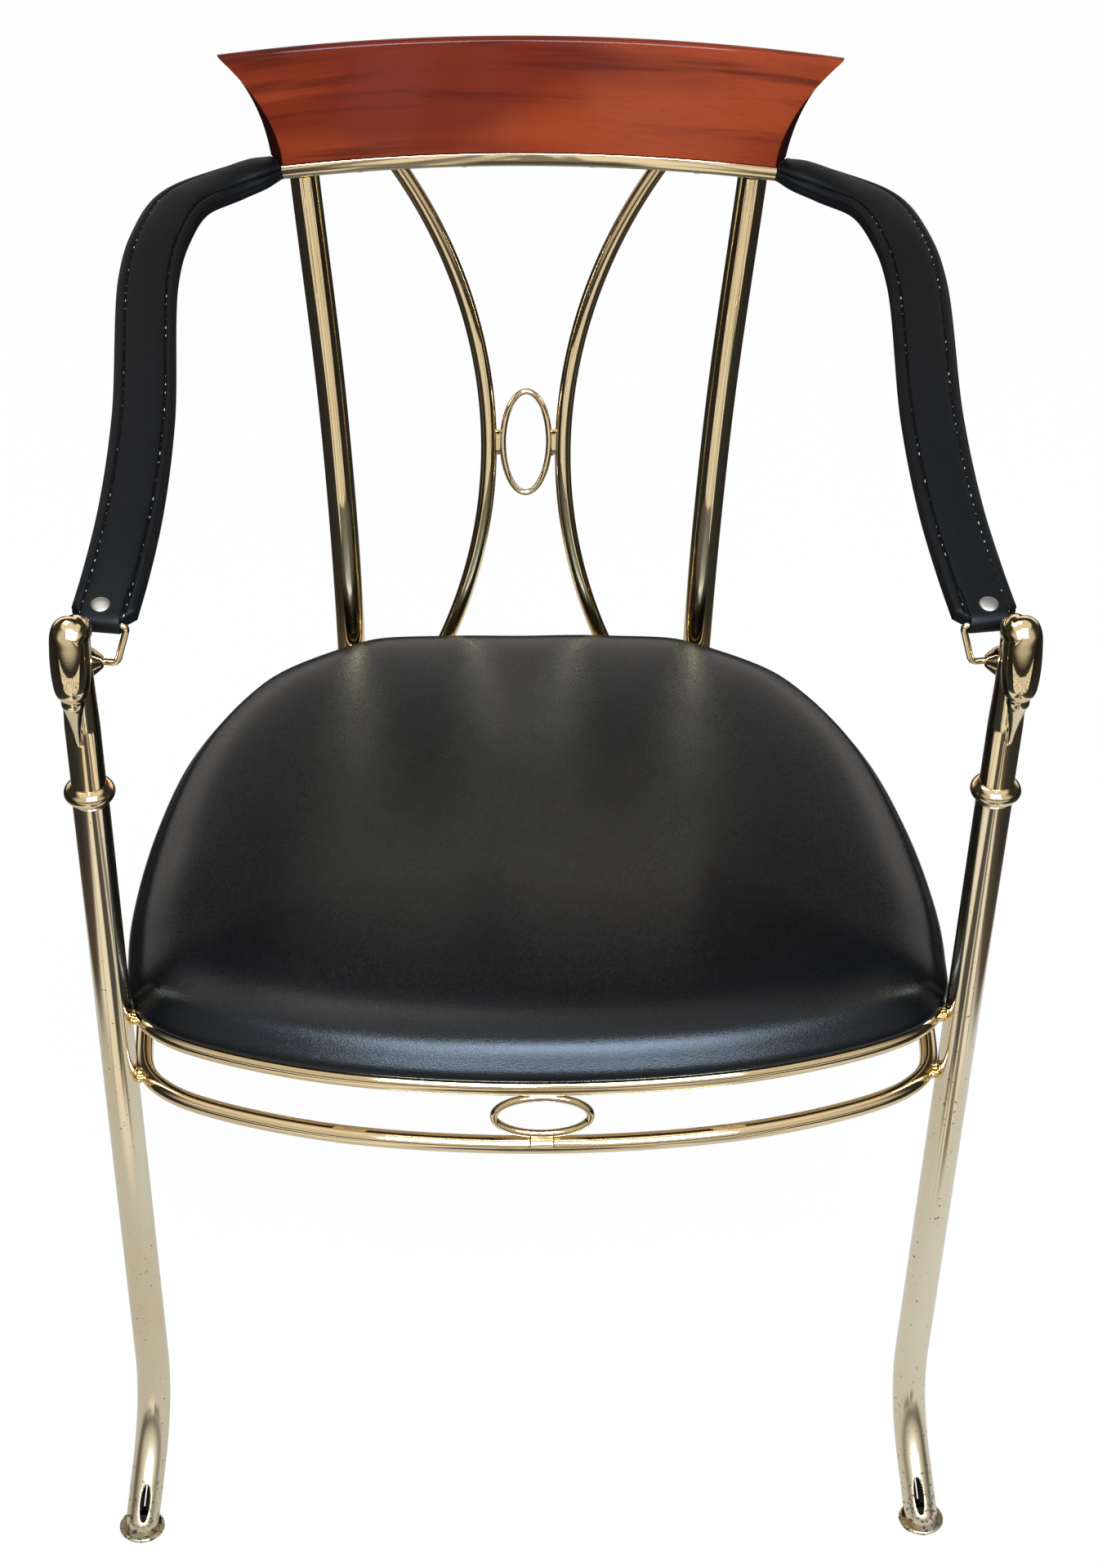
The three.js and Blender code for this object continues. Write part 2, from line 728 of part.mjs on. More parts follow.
// Back oval, held at the waist of the bowed rods
const bowLean = v3(0, bowTopY - bowFootY, bowTop - upperRingHeight).normalize();
const backOvalCentre = v3(0, bowY(backOvalHeight), backOvalHeight);
add(
  "back_oval_ring",
  ovalRing(v3(backOvalHalfWidth, 0, 0), bowLean.clone().multiplyScalar(backOvalHalfHeight), backOvalWire),
  brass,
  backOvalCentre,
);
const backLinkFrom = backOvalHalfWidth + backOvalWire / 2 + fit;
const backLinkTo = bowHalfGap - bowRodRadius - fit;
const backLink = box(backLinkTo - backLinkFrom, backLinkDepth, ovalLinkLength);
backLink.rotateX(-Math.atan2(bowLean.y, bowLean.z));
const backLinkPlace = backOvalCentre.clone().add(v3((backLinkFrom + backLinkTo) / 2, 0, 0));
addPair("back_link", backLink, brass, backLinkPlace);

// A bar or board bent to the back's curve. Each section point is a height and a depth behind the face.
function bentBoard(section, halfWidthAt) {
  const rings = [];
  for (let i = 0; i <= boardSteps; i++) {
    const share = (2 * i) / boardSteps - 1;
    rings.push(
      section.map(([height, depth]) => {
        const x = share * halfWidthAt(height);
        return v3(x, railFaceY(x) + depth, height);
      }),
    );
  }
  return loft(rings);
}

const screwRadius = screwShankDiameter / 2;
function screw(at0, direction, length) {
  const headTop = at0.clone().addScaledVector(direction, -screwHeadHeight - fit);
  const headBase = at0.clone().addScaledVector(direction, -fit);
  const tip = at0.clone().addScaledVector(direction, length);
  return joined(
    bar(headTop, headBase, screwHeadDiameter / 2, screwHeadSides),
    bar(headBase.clone().addScaledVector(direction, -screwHeadHeight / 2), tip, screwRadius, screwSides),
  );
}
const screwHole = (at0, direction, length) =>
  bar(
    at0.clone().addScaledVector(direction, -overrun),
    at0.clone().addScaledVector(direction, length + fit),
    screwRadius + fit,
    rodSides,
  );

// Strip: a brass bar with its front edge eased, slotted at each end for the arm's core
const stripRoundShare = 0.2;
const stripTop = stripBottom + stripHeight;
const stripEase = stripHeight * stripRoundShare;
const stripSection = [
  [stripBottom, stripEase],
  [stripBottom + stripEase, 0],
  [stripTop - stripEase, 0],
  [stripTop, stripEase],
  [stripTop, stripDepth],
  [stripBottom, stripDepth],
];
const railScrewX = railScrewShares.map((share) => share * railHalfWidth);
const railScrewAt = (x) => v3(x, railFaceY(x) + stripDepth / 2, stripBottom);
const railScrewPlaces = railScrewX.flatMap((x) => [railScrewAt(x), railScrewAt(-x)]);

const tongueWidthShare = 0.55;
const tongueWidth = armCoreWidth * tongueWidthShare;

// A box with one end at the strip's end, running inwards
function tongueBox(from, to, width, height) {
  const ends = [from, to].map((along) => {
    const centre = armRoot.clone().addScaledVector(railEndAlong, along);
    return [[-1, -1], [1, -1], [1, 1], [-1, 1]].map(([a, b]) =>
      centre
        .clone()
        .addScaledVector(railEndAcross, (a * width) / 2)
        .add(v3(0, 0, (b * height) / 2)),
    );
  });
  return loft(ends);
}

const armScrewAt = armRoot.clone().addScaledVector(railEndAlong, armScrewInset - armTongue);
armScrewAt.z = stripBottom;
const pocket = tongueBox(-armTongue - fit, overrun, tongueWidth, armCoreThickness);
const armScrewHole = screwHole(armScrewAt, up, armScrewLength);
add(
  "back_strip",
  cut(
    bentBoard(stripSection, () => railHalfWidth),
    pocket,
    mirrored(pocket),
    armScrewHole,
    mirrored(armScrewHole),
    ...railScrewPlaces.map((p) => screwHole(p, up, railScrewLength)),
  ),
  brass,
);

// Top rail: a mahogany tablet, thick at its foot and thin at its crest, with horned ends
const railBottom = stripTop + fit;
const railTop = railBottom + railHeight;
const railHalfWidthAt = (height) =>
  railHalfWidth + railHornReach * Math.max(0, (height - railBottom) / railHeight) ** railHornPower;
const railFaceShares = [0, 0.2, 0.4, 0.56, 0.7, 0.82, 0.92]; // of the rail's height
const railEaseShare = 0.3; // of the top edge's rounding
const railDepthAt = (share) => railBottomDepth + (railTopDepth - railBottomDepth) * share;
const railSection = [
  ...railFaceShares.map((share) => [railBottom + share * railHeight, 0]),
  [railTop - railEdgeRound * railEaseShare, railEdgeRound * railEaseShare],
  [railTop, railEdgeRound],
  [railTop, railTopDepth - railEdgeRound],
  [railTop - railEdgeRound, railTopDepth],
  ...[...railFaceShares].reverse().map((share) => [railBottom + share * railHeight, railDepthAt(share)]),
];
add(
  "top_rail",
  cut(
    bentBoard(railSection, railHalfWidthAt),
    ...railScrewPlaces.map((p) => screwHole(p, up, railScrewLength)),
  ),
  mahogany,
);
["right_inner", "left_inner", "right_outer", "left_outer"].forEach((name, i) => {
  add(name + "_rail_screw", screw(railScrewPlaces[i], up, railScrewLength), steel);
});
addPair("arm_screw", screw(armScrewAt, up, armScrewLength), steel);

// Arms: a flat steel core in a leather sleeve, with a stitched leather panel on top.
// Section of a strap with eased edges, as shares of its half width and half thickness
const strapShares = [
  [1, -0.4], [1, 0.4], [0.94, 0.85], [0.86, 1], [-0.86, 1], [-0.94, 0.85],
  [-1, 0.4], [-1, -0.4], [-0.94, -0.85], [-0.86, -1], [0.86, -1], [0.94, -0.85],
];

function strapRing(share, width, thickness, lift = 0) {
  const { point, tangent, across, over } = armFrame(share);
  const centre = point.addScaledVector(over, lift);
  const ring = strapShares.map(([a, b]) =>
    centre
      .clone()
      .addScaledVector(across, (a * width) / 2)
      .addScaledVector(over, (b * thickness) / 2),
  );
  return share === 0 ? flush(ring, tangent, armStart.x, "x") : ring;
}

const flareShare = 0.12; // of the arm's length, over which it widens from its root
const shareBehindTip = (length) => 1 - length / armLength;
const panelStartShare = 0.03;
const panelEndShare = shareBehindTip(tabTopLength + fit);
const bodyShares = [0.06, 0.09, 0.12, 0.145, 0.17, 0.195, 0.22, 0.25, 0.3, 0.4, 0.52, 0.64, 0.76, 0.88];
const panelShares = [panelStartShare, ...bodyShares, panelEndShare];
const armShares = [0, ...panelShares];
const sleeveWidth = (share) => widened(share, armRootWidth, armWidth);
const coreWidth = (share) => widened(share, tongueWidth, armCoreWidth);

function widened(share, root, full) {
  return root + (full - root) * Math.sin((Math.min(1, share / flareShare) * Math.PI) / 2);
}

// The rivet stands square to the arm where it goes through
const rivetFrame = armFrame(shareBehindTip(rivetInset));
const onRivet = (lift) => rivetFrame.point.clone().addScaledVector(rivetFrame.over, lift);
const tabInner = armThickness / 2 + fit;
const tabOuter = tabInner + tabThickness;
const rivetHole = bar(
  onRivet(-tabOuter - overrun),
  onRivet(tabOuter + overrun),
  rivetShankDiameter / 2 + fit,
);

function armSleeve() {
  const outer = [...armShares, shareBehindTip(armCornerClip)].map((s) =>
    strapRing(s, sleeveWidth(s), armThickness),
  );
  outer.push(strapRing(1, armWidth - 2 * armCornerClip, armThickness));
  const inner = [...armShares, shareBehindTip(armCoreShort - fit)].map((s) =>
    strapRing(s, coreWidth(s) + 2 * fit, armCoreThickness + 2 * fit),
  );
  return cut(shell(outer, inner, true), rivetHole);
}
addPair("arm_sleeve", armSleeve(), leather);

function armCore() {
  const rings = [...armShares, shareBehindTip(armCoreShort)].map((s) =>
    strapRing(s, coreWidth(s), armCoreThickness),
  );
  const tongue = tongueBox(-armTongue, overrun, tongueWidth - 2 * fit, armCoreThickness - 2 * fit);
  return cut(joined(loft(rings), tongue), rivetHole, armScrewHole);
}
addPair("arm_core", armCore(), steel);

// Panel: from the arm's root to the tab, narrower where the arm is narrow
const panelRootShare = 0.7;
function armPanel() {
  const lift = tabInner + panelThickness / 2;
  const width = (s) => Math.min(panelWidth, sleeveWidth(s) * panelRootShare);
  return loft(panelShares.map((s) => strapRing(s, width(s), panelThickness, lift)));
}
addPair("arm_panel", armPanel(), leather);

// A flat outline made solid: place() puts each of its points on either face
function prism(outline, place) {
  const count = outline.length;
  const flat = outline.map(([x, y]) => new THREE.Vector2(x, y));
  const triangles = [];
  THREE.ShapeUtils.triangulateShape(flat, []).forEach(([a, b, c]) => {
    triangles.push([a, b, c], [count + a, count + c, count + b]);
  });
  const clockwise = THREE.ShapeUtils.isClockWise(flat);
  for (let i = 0; i < count; i++) {
    const j = (i + 1) % count;
    const [from, to] = clockwise ? [i, j] : [j, i];
    triangles.push([from, to, count + to], [from, count + to, count + from]);
  }
  return closedGeometry([1, -1].flatMap((side) => flat.map((p) => place(p.x, p.y, side))), triangles);
}

// Tab: a strap that runs forward on top of the tip, round the link's bar and back below
function armTab() {
  const arc = (radius) =>
    Array.from({ length: tabTurns + 1 }, (_, i) => {
      const turn = Math.PI / 2 - (Math.PI * i) / tabTurns;
      return [radius * Math.cos(turn), radius * Math.sin(turn)];
    });
  const run = (length, lift) => [1 / 2, 1].map((share) => [-length * share, lift]);
  const outline = [
    ...run(tabTopLength, tabOuter).reverse(),
    ...arc(tabOuter),
    ...run(tabUnderLength, -tabOuter),
    ...run(tabUnderLength, -tabInner).reverse(),
    ...arc(tabInner).reverse(),
    ...run(tabTopLength, tabInner),
  ];
  const place = (ahead, lift, side) => {
    const { point, tangent, across, over } = armFrame(shareBehindTip(Math.max(0, -ahead)));
    return point
      .addScaledVector(tangent, Math.max(0, ahead))
      .addScaledVector(over, lift)
      .addScaledVector(across, (side * tabWidth) / 2);
  };
  return cut(prism(outline, place), rivetHole);
}
addPair("arm_tab", armTab(), leather);

// Rivet with a domed head on top and a flat one below
const rivetDomeShares = [[1, 0], [0.96, 0.4], [0.6, 0.85], [0, 1]];
const rivetBackShares = [[0, -0.5], [0.8, -0.5], [0.8, 0]];
function rivet() {
  const r = rivetHeadDiameter / 2;
  const seat = tabOuter + fit;
  const profile = [
    ...rivetBackShares.map(([x, y]) => [x * r, y * rivetHeadHeight - seat]),
    [rivetShankDiameter / 2, -seat],
    [rivetShankDiameter / 2, seat],
    ...rivetDomeShares.map(([x, y]) => [x * r, y * rivetHeadHeight + seat]),
  ];
  const lathe = new THREE.LatheGeometry(profile.map(([x, y]) => new THREE.Vector2(x, y)), rivetSides);
  const { across, over, point } = rivetFrame;
  const square = v3(0, 0, 0).crossVectors(across, over);
  const basis = new THREE.Matrix4().makeBasis(across, over, square).setPosition(point);
  return cleaned(lathe).applyMatrix4(basis);
}
addPair("arm_rivet", rivet(), nickel);

// Link ring: a trapezoid of wire from the bar inside the tab down to the eye of the lug
function linkRing() {
  const bar0 = armTip.clone().addScaledVector(tipFrame.tangent, tabInner - linkWire / 2 - fit);
  const across = tipFrame.across;
  const corners = [
    [bar0, linkTopHalf],
    [bar0, -linkTopHalf],
    [eye, -linkBottomHalf],
    [eye, linkBottomHalf],
  ].map(([middle, half]) => middle.clone().addScaledVector(across, half));
  const normal = v3(0, 0, 0).crossVectors(across, eye.clone().sub(bar0)).normalize();
  const rings = corners.flatMap((corner, i) => {
    const towards = (other) => {
      const reach = other.clone().sub(corner).normalize().multiplyScalar(linkCornerRound);
      return corner.clone().add(reach);
    };
    const bend = new THREE.QuadraticBezierCurve3(
      towards(corners[(i + 3) % 4]),
      corner,
      towards(corners[(i + 1) % 4]),
    );
    return [0, 1 / 4, 1 / 2, 3 / 4, 1].map((share) =>
      roundRing(bend.getPoint(share), bend.getTangent(share), normal, linkWire / 2, rodSides),
    );
  });
  return loft(rings, true);
}
addPair("link_ring", linkRing(), brass);

// Seat: the cushion and its board follow the upper ring's outline
const seatOutline = outlinePoints(ringOutline(upperRingHeight), spanSteps);
const seatCentre = v3(0, (ringBackY - ringFrontBow) / 2, 0);
const softGap = 4 * fit; // between the cushion and the legs it swells against
const backFadeShares = [0.82, 0.99]; // of the ring's depth, between which the overhang turns to a set-in

function overhangAt(y) {
  const [from, to] = backFadeShares.map((share) => share * ringBackY);
  const share = THREE.MathUtils.smoothstep(y, from, to);
  return cushionOverhang - (cushionOverhang + cushionBackSetIn) * share;
}

// A point of the outline moved outwards, held back where a front leg stands
function setOut({ point, tangent }, distance, height) {
  const outward = v3(tangent.y, -tangent.x, 0).normalize();
  const moved = point.clone().addScaledVector(outward, distance);
  const legX = Math.sign(point.x) * legAxisX(height);
  const keep = legRadius + softGap;
  const gap = Math.hypot(moved.x - legX, moved.y);
  if (gap < keep) moved.addScaledVector(outward, gap - keep);
  moved.z = height;
  return moved;
}

// Rows of the cushion's side: share of the edge height, share of the tuck, share of the rounding
const cushionSideShares = [
  [0, 1, 0], [0.15, 0.3, 0], [0.4, 0, 0], [0.62, 0, 0.06], [0.8, 0, 0.23], [0.92, 0, 0.53], [1, 0, 1],
];
// Rows of its crown: share of the crown's rise, and of the outline's size
const cushionCrownShares = [[0.42, 0.86], [0.68, 0.7], [0.87, 0.5], [0.96, 0.3], [1, 0.1]];
const cushionBase = upperRingHeight + ringRodRadius + fit;

function cushion() {
  const side = cushionSideShares.map(([rise, tucked, rounded]) =>
    seatOutline.map((station) => {
      const drawn = tucked * cushionTuck + rounded * cushionRoundReach;
      return setOut(station, overhangAt(station.point.y) - drawn, cushionBase + rise * cushionEdgeHeight);
    }),
  );
  const edge = side[side.length - 1];
  const crown = cushionCrownShares.map(([rise, size]) =>
    edge.map((p) => {
      const inner = seatCentre.clone().lerp(p, size);
      inner.z = cushionBase + cushionEdgeHeight + rise * cushionCrown;
      return inner;
    }),
  );
  return loft([...side, ...crown]);
}
add("seat_cushion", cushion(), leather);

// Seat board inside the upper ring, held by four brackets below
const bracketTop = upperRingHeight - ringRodRadius - fit;
const bracketScrewShare = 0.6; // along the bracket, from the ring inwards

const bracketStations = [2, 19].flatMap((index) => [index, seatOutline.length - index]);
const bracketNames = ["right_front", "left_front", "right_back", "left_back"];
const bracketPlaces = bracketStations.map((index) => {
  const { point, tangent } = seatOutline[index];
  const inward = v3(-tangent.y, tangent.x, 0).normalize();
  const along = v3(-inward.y, inward.x, 0);
  const start = point.clone().addScaledVector(inward, bracketSetIn);
  const place = (reach, sideways, z) => {
    const p = start.clone().addScaledVector(inward, reach).addScaledVector(along, sideways);
    p.z = z;
    return p;
  };
  return { place, screwAt: place(bracketScrewShare * bracketLength, 0, bracketTop - bracketThickness) };
});

function seatBoard() {
  const inset = -ringRodRadius - boardClearance;
  const rows = [-ringRodRadius, ringRodRadius].map((lift) =>
    seatOutline.map((station) => setOut(station, inset, upperRingHeight + lift)),
  );
  return cut(loft(rows), ...bracketPlaces.map(({ screwAt }) => screwHole(screwAt, up, seatScrewLength)));
}
add("seat_board", seatBoard(), plywood);

bracketPlaces.forEach(({ place, screwAt }, i) => {
  const rows = [bracketTop, bracketTop - bracketThickness].map((z) =>
    [[0, -1], [0, 1], [1, 1], [1, -1]].map(([a, b]) => place(a * bracketLength, (b * bracketWidth) / 2, z)),
  );
  add(bracketNames[i] + "_bracket", cut(loft(rows), screwHole(screwAt, up, seatScrewLength)), brass);
  add(bracketNames[i] + "_seat_screw", screw(screwAt, up, seatScrewLength), steel);
});

// The part's origin is the middle of its footprint, on the floor
const part = new THREE.Group();
part.add(chair);
const extent = new THREE.Box3().setFromObject(chair);
const middle = extent.getCenter(v3(0, 0, 0));
chair.position.set(-middle.x, -middle.y, -extent.min.z);

export default part;
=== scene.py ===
# %% [markdown]
# # Klismos armchair
# The chair has a polished brass tube frame, a mahogany back rail, a black leather seat and two
# leather covered arms that hang from gooseneck finials by small brass links.
# The solid model gives every size and place. This lesson dresses it: each visible part is made
# again with fine, smooth surfaces, and each finish is built from nodes.

# %% Load the model
import math
import bpy
import bmesh
import numpy as np
from mathutils import Matrix, Vector
from mathutils.kdtree import KDTree


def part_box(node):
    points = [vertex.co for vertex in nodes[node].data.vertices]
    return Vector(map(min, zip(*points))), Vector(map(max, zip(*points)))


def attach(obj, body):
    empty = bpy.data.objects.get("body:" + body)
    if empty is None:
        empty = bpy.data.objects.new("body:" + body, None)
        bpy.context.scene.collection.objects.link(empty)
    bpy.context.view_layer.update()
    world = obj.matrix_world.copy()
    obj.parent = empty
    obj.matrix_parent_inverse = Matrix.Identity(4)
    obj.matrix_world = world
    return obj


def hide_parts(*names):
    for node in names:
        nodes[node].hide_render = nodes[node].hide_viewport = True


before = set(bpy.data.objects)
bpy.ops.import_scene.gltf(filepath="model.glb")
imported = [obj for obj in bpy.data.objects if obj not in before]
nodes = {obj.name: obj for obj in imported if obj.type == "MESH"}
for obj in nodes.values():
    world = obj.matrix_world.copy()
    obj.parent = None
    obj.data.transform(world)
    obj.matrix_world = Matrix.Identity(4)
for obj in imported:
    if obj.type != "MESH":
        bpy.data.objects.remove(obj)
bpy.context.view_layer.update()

scene = bpy.context.scene

# %% [markdown]
# ## One frame for every measure
# The sizes below are the chair's own, in millimetres, counted from the plane of the front legs
# and from the floor. Blender works in metres about the middle of the footprint, so one helper
# turns a chair point into a Blender point. The seat ring's box gives the distance between the two.

# %% Chair millimetres to Blender metres
RING_FRONT, RING_BACK = -67.0, 434.5
ring_low, ring_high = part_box("upper_seat_ring")
MIDDLE_Y = (RING_FRONT + RING_BACK) / 2 - (ring_low.y + ring_high.y) / 2 * 1000


def metres(points):
    """Chair points in millimetres as Blender points."""
    placed = np.array(points, float)
    placed[..., 1] -= MIDDLE_Y
    return placed / 1000


def unit(v):
    v = np.asarray(v, float)
    return v / np.linalg.norm(v)


print("the footprint's middle lies", round(MIDDLE_Y, 2), "mm behind the front legs")

# %% [markdown]
# ## The camera
# The photograph looks down on the chair from the front, with a long lens. The camera stands where
# the chair's corners fall on the photograph's corners, so both pictures can be compared anywhere.

# %% Place the camera
YAW, PITCH, ROLL = 0.041, 0.607, 0.021
FOCAL_PIXELS, PHOTO_HEIGHT, SENSOR = 4124.156, 1920, 36.0
CAMERA_PLACE = (-66.308, -1678.797, 1751.331)
over_floor = np.array([math.sin(YAW), math.cos(YAW), 0])
forward = over_floor * math.cos(PITCH) - np.array([0, 0, math.sin(PITCH)])
level = np.array([math.cos(YAW), -math.sin(YAW), 0])
down = np.cross(forward, level)
right_axis = math.cos(ROLL) * level - math.sin(ROLL) * down
down_axis = math.sin(ROLL) * level + math.cos(ROLL) * down

camera = bpy.data.objects.new("camera", bpy.data.cameras.new("camera"))
scene.collection.objects.link(camera)
camera.data.sensor_width = SENSOR
camera.data.lens = FOCAL_PIXELS / PHOTO_HEIGHT * SENSOR
axes = np.array([right_axis, -down_axis, -forward]).T
camera.matrix_world = Matrix.Translation(metres(CAMERA_PLACE)) @ Matrix(axes.tolist()).to_4x4()
camera.data.clip_end = 50
scene.camera = camera
print("the lens is", round(camera.data.lens, 1), "mm")

# %% [markdown]
# ## Curves
# Bent tubes are drawn through a few points with a smooth curve. The centripetal form is used: its
# bends stay round where the points stand at uneven distances. The curve is then walked in even
# steps, so that a tube's rings are evenly spaced.

# %% Smooth curves in even steps


def smooth_curve(points, closed=False, fine=80):
    """A dense path that goes smoothly through a few points."""
    knots = [np.array(p, float) for p in points]
    n = len(knots)
    walked = []
    for i in range(n if closed else n - 1):
        p1, p2 = knots[i], knots[(i + 1) % n]
        p0 = knots[i - 1] if closed or i > 0 else 2 * knots[0] - knots[1]
        p3 = knots[(i + 2) % n] if closed or i + 2 < n else 2 * knots[-1] - knots[-2]
        d0, d1, d2 = (np.linalg.norm(b - a) ** 0.5 for a, b in ((p0, p1), (p1, p2), (p2, p3)))
        m1 = ((p1 - p0) / d0 - (p2 - p0) / (d0 + d1) + (p2 - p1) / d1) * d1
        m2 = ((p2 - p1) / d1 - (p3 - p1) / (d1 + d2) + (p3 - p2) / d2) * d1
        for w in np.arange(fine) / fine:
            square, cube = w * w, w * w * w
            rise, turn = 3 * (p2 - p1) - 2 * m1 - m2, 2 * (p1 - p2) + m1 + m2
            walked.append(p1 + m1 * w + rise * square + turn * cube)
    walked.append(knots[0] if closed else knots[-1])
    return np.array(walked)


def even_steps(path, steps, closed=False):
    """Points at even distances along a path, and the way that the path runs at each."""
    reach = np.concatenate([[0], np.cumsum(np.linalg.norm(np.diff(path, axis=0), axis=1))])
    wanted = np.linspace(0, reach[-1], steps + 1)
    step = reach[-1] / 4000
    ahead, behind = wanted + step, wanted - step
    if closed:
        ahead, behind = ahead % reach[-1], behind % reach[-1]
    points, before, after = (
        np.array([np.interp(w, reach, path[:, k]) for k in range(3)]).T for w in (wanted, behind, ahead)
    )
    tangents = after - before
    tangents /= np.linalg.norm(tangents, axis=1)[:, None]
    return (points[:-1], tangents[:-1]) if closed else (points, tangents)


print("a curve through 4 points walks", len(smooth_curve(np.eye(4, 3) * 50)), "places")

# %% [markdown]
# ## From rings of points to a mesh
# Nearly every metal part is a skin over rings of points. One helper joins the rings with
# four-sided faces, another turns the result into an object that rides on its body of the model.

# %% Mesh helpers


def skin(rings, looped=False):
    """Points and faces of a skin over rings of points, closed at both ends."""
    rings = np.array(rings, float)
    count, sides = rings.shape[:2]
    faces = []
    for k in range(count if looped else count - 1):
        a, b = k * sides, (k + 1) % count * sides
        for i in range(sides):
            j = (i + 1) % sides
            faces.append((a + i, a + j, b + j, b + i))
    if not looped:
        faces.append(tuple(range(sides))[::-1])
        faces.append(tuple((count - 1) * sides + i for i in range(sides)))
    return rings.reshape(-1, 3), faces


def mesh_from(name, points, faces, sharp=40):
    """A mesh with doubles merged, faces outward, and edges over an angle kept sharp."""
    mesh = bpy.data.meshes.new(name)
    mesh.from_pydata([tuple(p) for p in metres(points)], [], faces)
    bm = bmesh.new()
    bm.from_mesh(mesh)
    bmesh.ops.remove_doubles(bm, verts=bm.verts, dist=1e-6)
    bmesh.ops.recalc_face_normals(bm, faces=bm.faces)
    bm.to_mesh(mesh)
    bm.free()
    mesh.polygons.foreach_set("use_smooth", [True] * len(mesh.polygons))
    mesh.set_sharp_from_angle(angle=math.radians(sharp))
    return mesh


def piece(name, mesh, material, stands_for=(), body="chair"):
    """An object that rides on a body and stands for solids of the model."""
    made = bpy.data.objects.new(name, mesh)
    scene.collection.objects.link(made)
    mesh.materials.clear()
    mesh.materials.append(material)
    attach(made, body)
    if stands_for:
        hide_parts(*stands_for)
    return made


def pair(name, mesh, material, solid, bodies=("chair", "chair")):
    """The right piece and its mirror image on the left, each for its own solid."""
    mirrored = mesh.copy()
    mirrored.name = "left_" + name
    mirrored.transform(Matrix.Diagonal((-1, 1, 1, 1)))
    mirrored.flip_normals()
    right = piece("right_" + name, mesh, material, ["right_" + solid], bodies[0])
    return right, piece("left_" + name, mirrored, material, ["left_" + solid], bodies[1])


def finished(obj):
    """The object with its modifiers worked into its mesh."""
    depsgraph = bpy.context.evaluated_depsgraph_get()
    shape = bpy.data.meshes.new_from_object(obj.evaluated_get(depsgraph))
    old = obj.data
    obj.modifiers.clear()
    obj.data = shape
    bpy.data.meshes.remove(old)
    return obj


print("mesh helpers ready")

# %% [markdown]
# Tubes need round rings, square to their path. Discs and beads are turned on a lathe, so their
# helper spins an outline of radius and height. Where a tube stands on a level face, its last ring
# is slid along the tube until it is level too.

# %% Round sections and turned shapes
X, Y, Z = np.eye(3)


def round_ring(centre, tangent, side, radius, sides):
    across = unit(np.asarray(side) - np.dot(side, tangent) * tangent)
    over = unit(np.cross(tangent, across))
    turns = np.arange(sides) * 2 * math.pi / sides
    return centre + radius * (np.cos(turns)[:, None] * across + np.sin(turns)[:, None] * over)


def flush(ring, tangent, value, axis=2):
    """A ring slid along its tangent until all its points share one coordinate."""
    return ring + np.outer((value - ring[:, axis]) / tangent[axis], tangent)


def round_tube(points, tangents, side, radii, sides=48, looped=False, level_ends=False):
    radii = np.broadcast_to(radii, len(points))
    rings = [round_ring(p, t, side, r, sides) for p, t, r in zip(points, tangents, radii)]
    if level_ends:
        rings[0] = flush(rings[0], tangents[0], points[0][2])
        rings[-1] = flush(rings[-1], tangents[-1], points[-1][2])
    return skin(rings, looped)


def turned(profile, sides=64):
    """An outline of (radius, height) spun round the upright axis."""
    turns = np.arange(sides) * 2 * math.pi / sides
    rings = [
        np.stack([r * np.cos(turns), r * np.sin(turns), np.full(sides, h)], axis=1)
        for r, h in ((max(r, 1e-4), h) for r, h in profile)
    ]
    return skin(rings)


def moved(points, by):
    return points + np.asarray(by, float)


def leaning(points, angle):
    """Points turned sideways, about the front to back axis."""
    c, s = math.cos(angle), math.sin(angle)
    return points @ np.array([[c, 0, s], [0, 1, 0], [-s, 0, c]]).T


print("a disc turned from 3 places has", len(turned([(0, 0), (5, 0), (0, 1)])[1]), "faces")

# %% [markdown]
# ## Shared effects
# Two effects are used by more than one finish: fine grain, which is the small bumps of leather,
# and wear, which is scattered small marks. Each is a node group with named inputs, so that a
# finish only states its own sizes.

# %% A small kit for node trees


def feed(tree, socket, value):
    """Links another node's output to a socket, or sets the socket to a plain value."""
    if isinstance(value, bpy.types.NodeSocket):
        tree.links.new(value, socket)
    else:
        socket.default_value = value


def add_node(tree, kind, settings=(), **values):
    """A node with its settings. An input is named by its label, or by i and its number."""
    node = tree.nodes.new(kind)
    for key, value in dict(settings).items():
        setattr(node, key, value)
    for key, value in values.items():
        numbered = key[0] == "i" and key[1:].isdigit()
        feed(tree, node.inputs[int(key[1:]) if numbered else key.replace("_", " ")], value)
    return node


def socket_of(sockets, name, kind):
    """The socket of one kind, among several that share a name."""
    return next(s for s in sockets if s.name == name and s.type == kind)


def maths(tree, operation, a, b=0.5, clamp=False):
    settings = {"operation": operation, "use_clamp": clamp}
    return add_node(tree, "ShaderNodeMath", settings, i0=a, i1=b).outputs[0]


def plus(tree, a, b):
    return maths(tree, "ADD", a, b)


def times(tree, a, b):
    return maths(tree, "MULTIPLY", a, b)


def ramp(tree, value, low, high, out_low=0.0, out_high=1.0):
    """A value eased from one range into another."""
    node = add_node(tree, "ShaderNodeMapRange", {"interpolation_type": "SMOOTHSTEP"}, Value=value)
    for label, end in (("From Min", low), ("From Max", high), ("To Min", out_low), ("To Max", out_high)):
        feed(tree, node.inputs[label], end)
    return node.outputs[0]


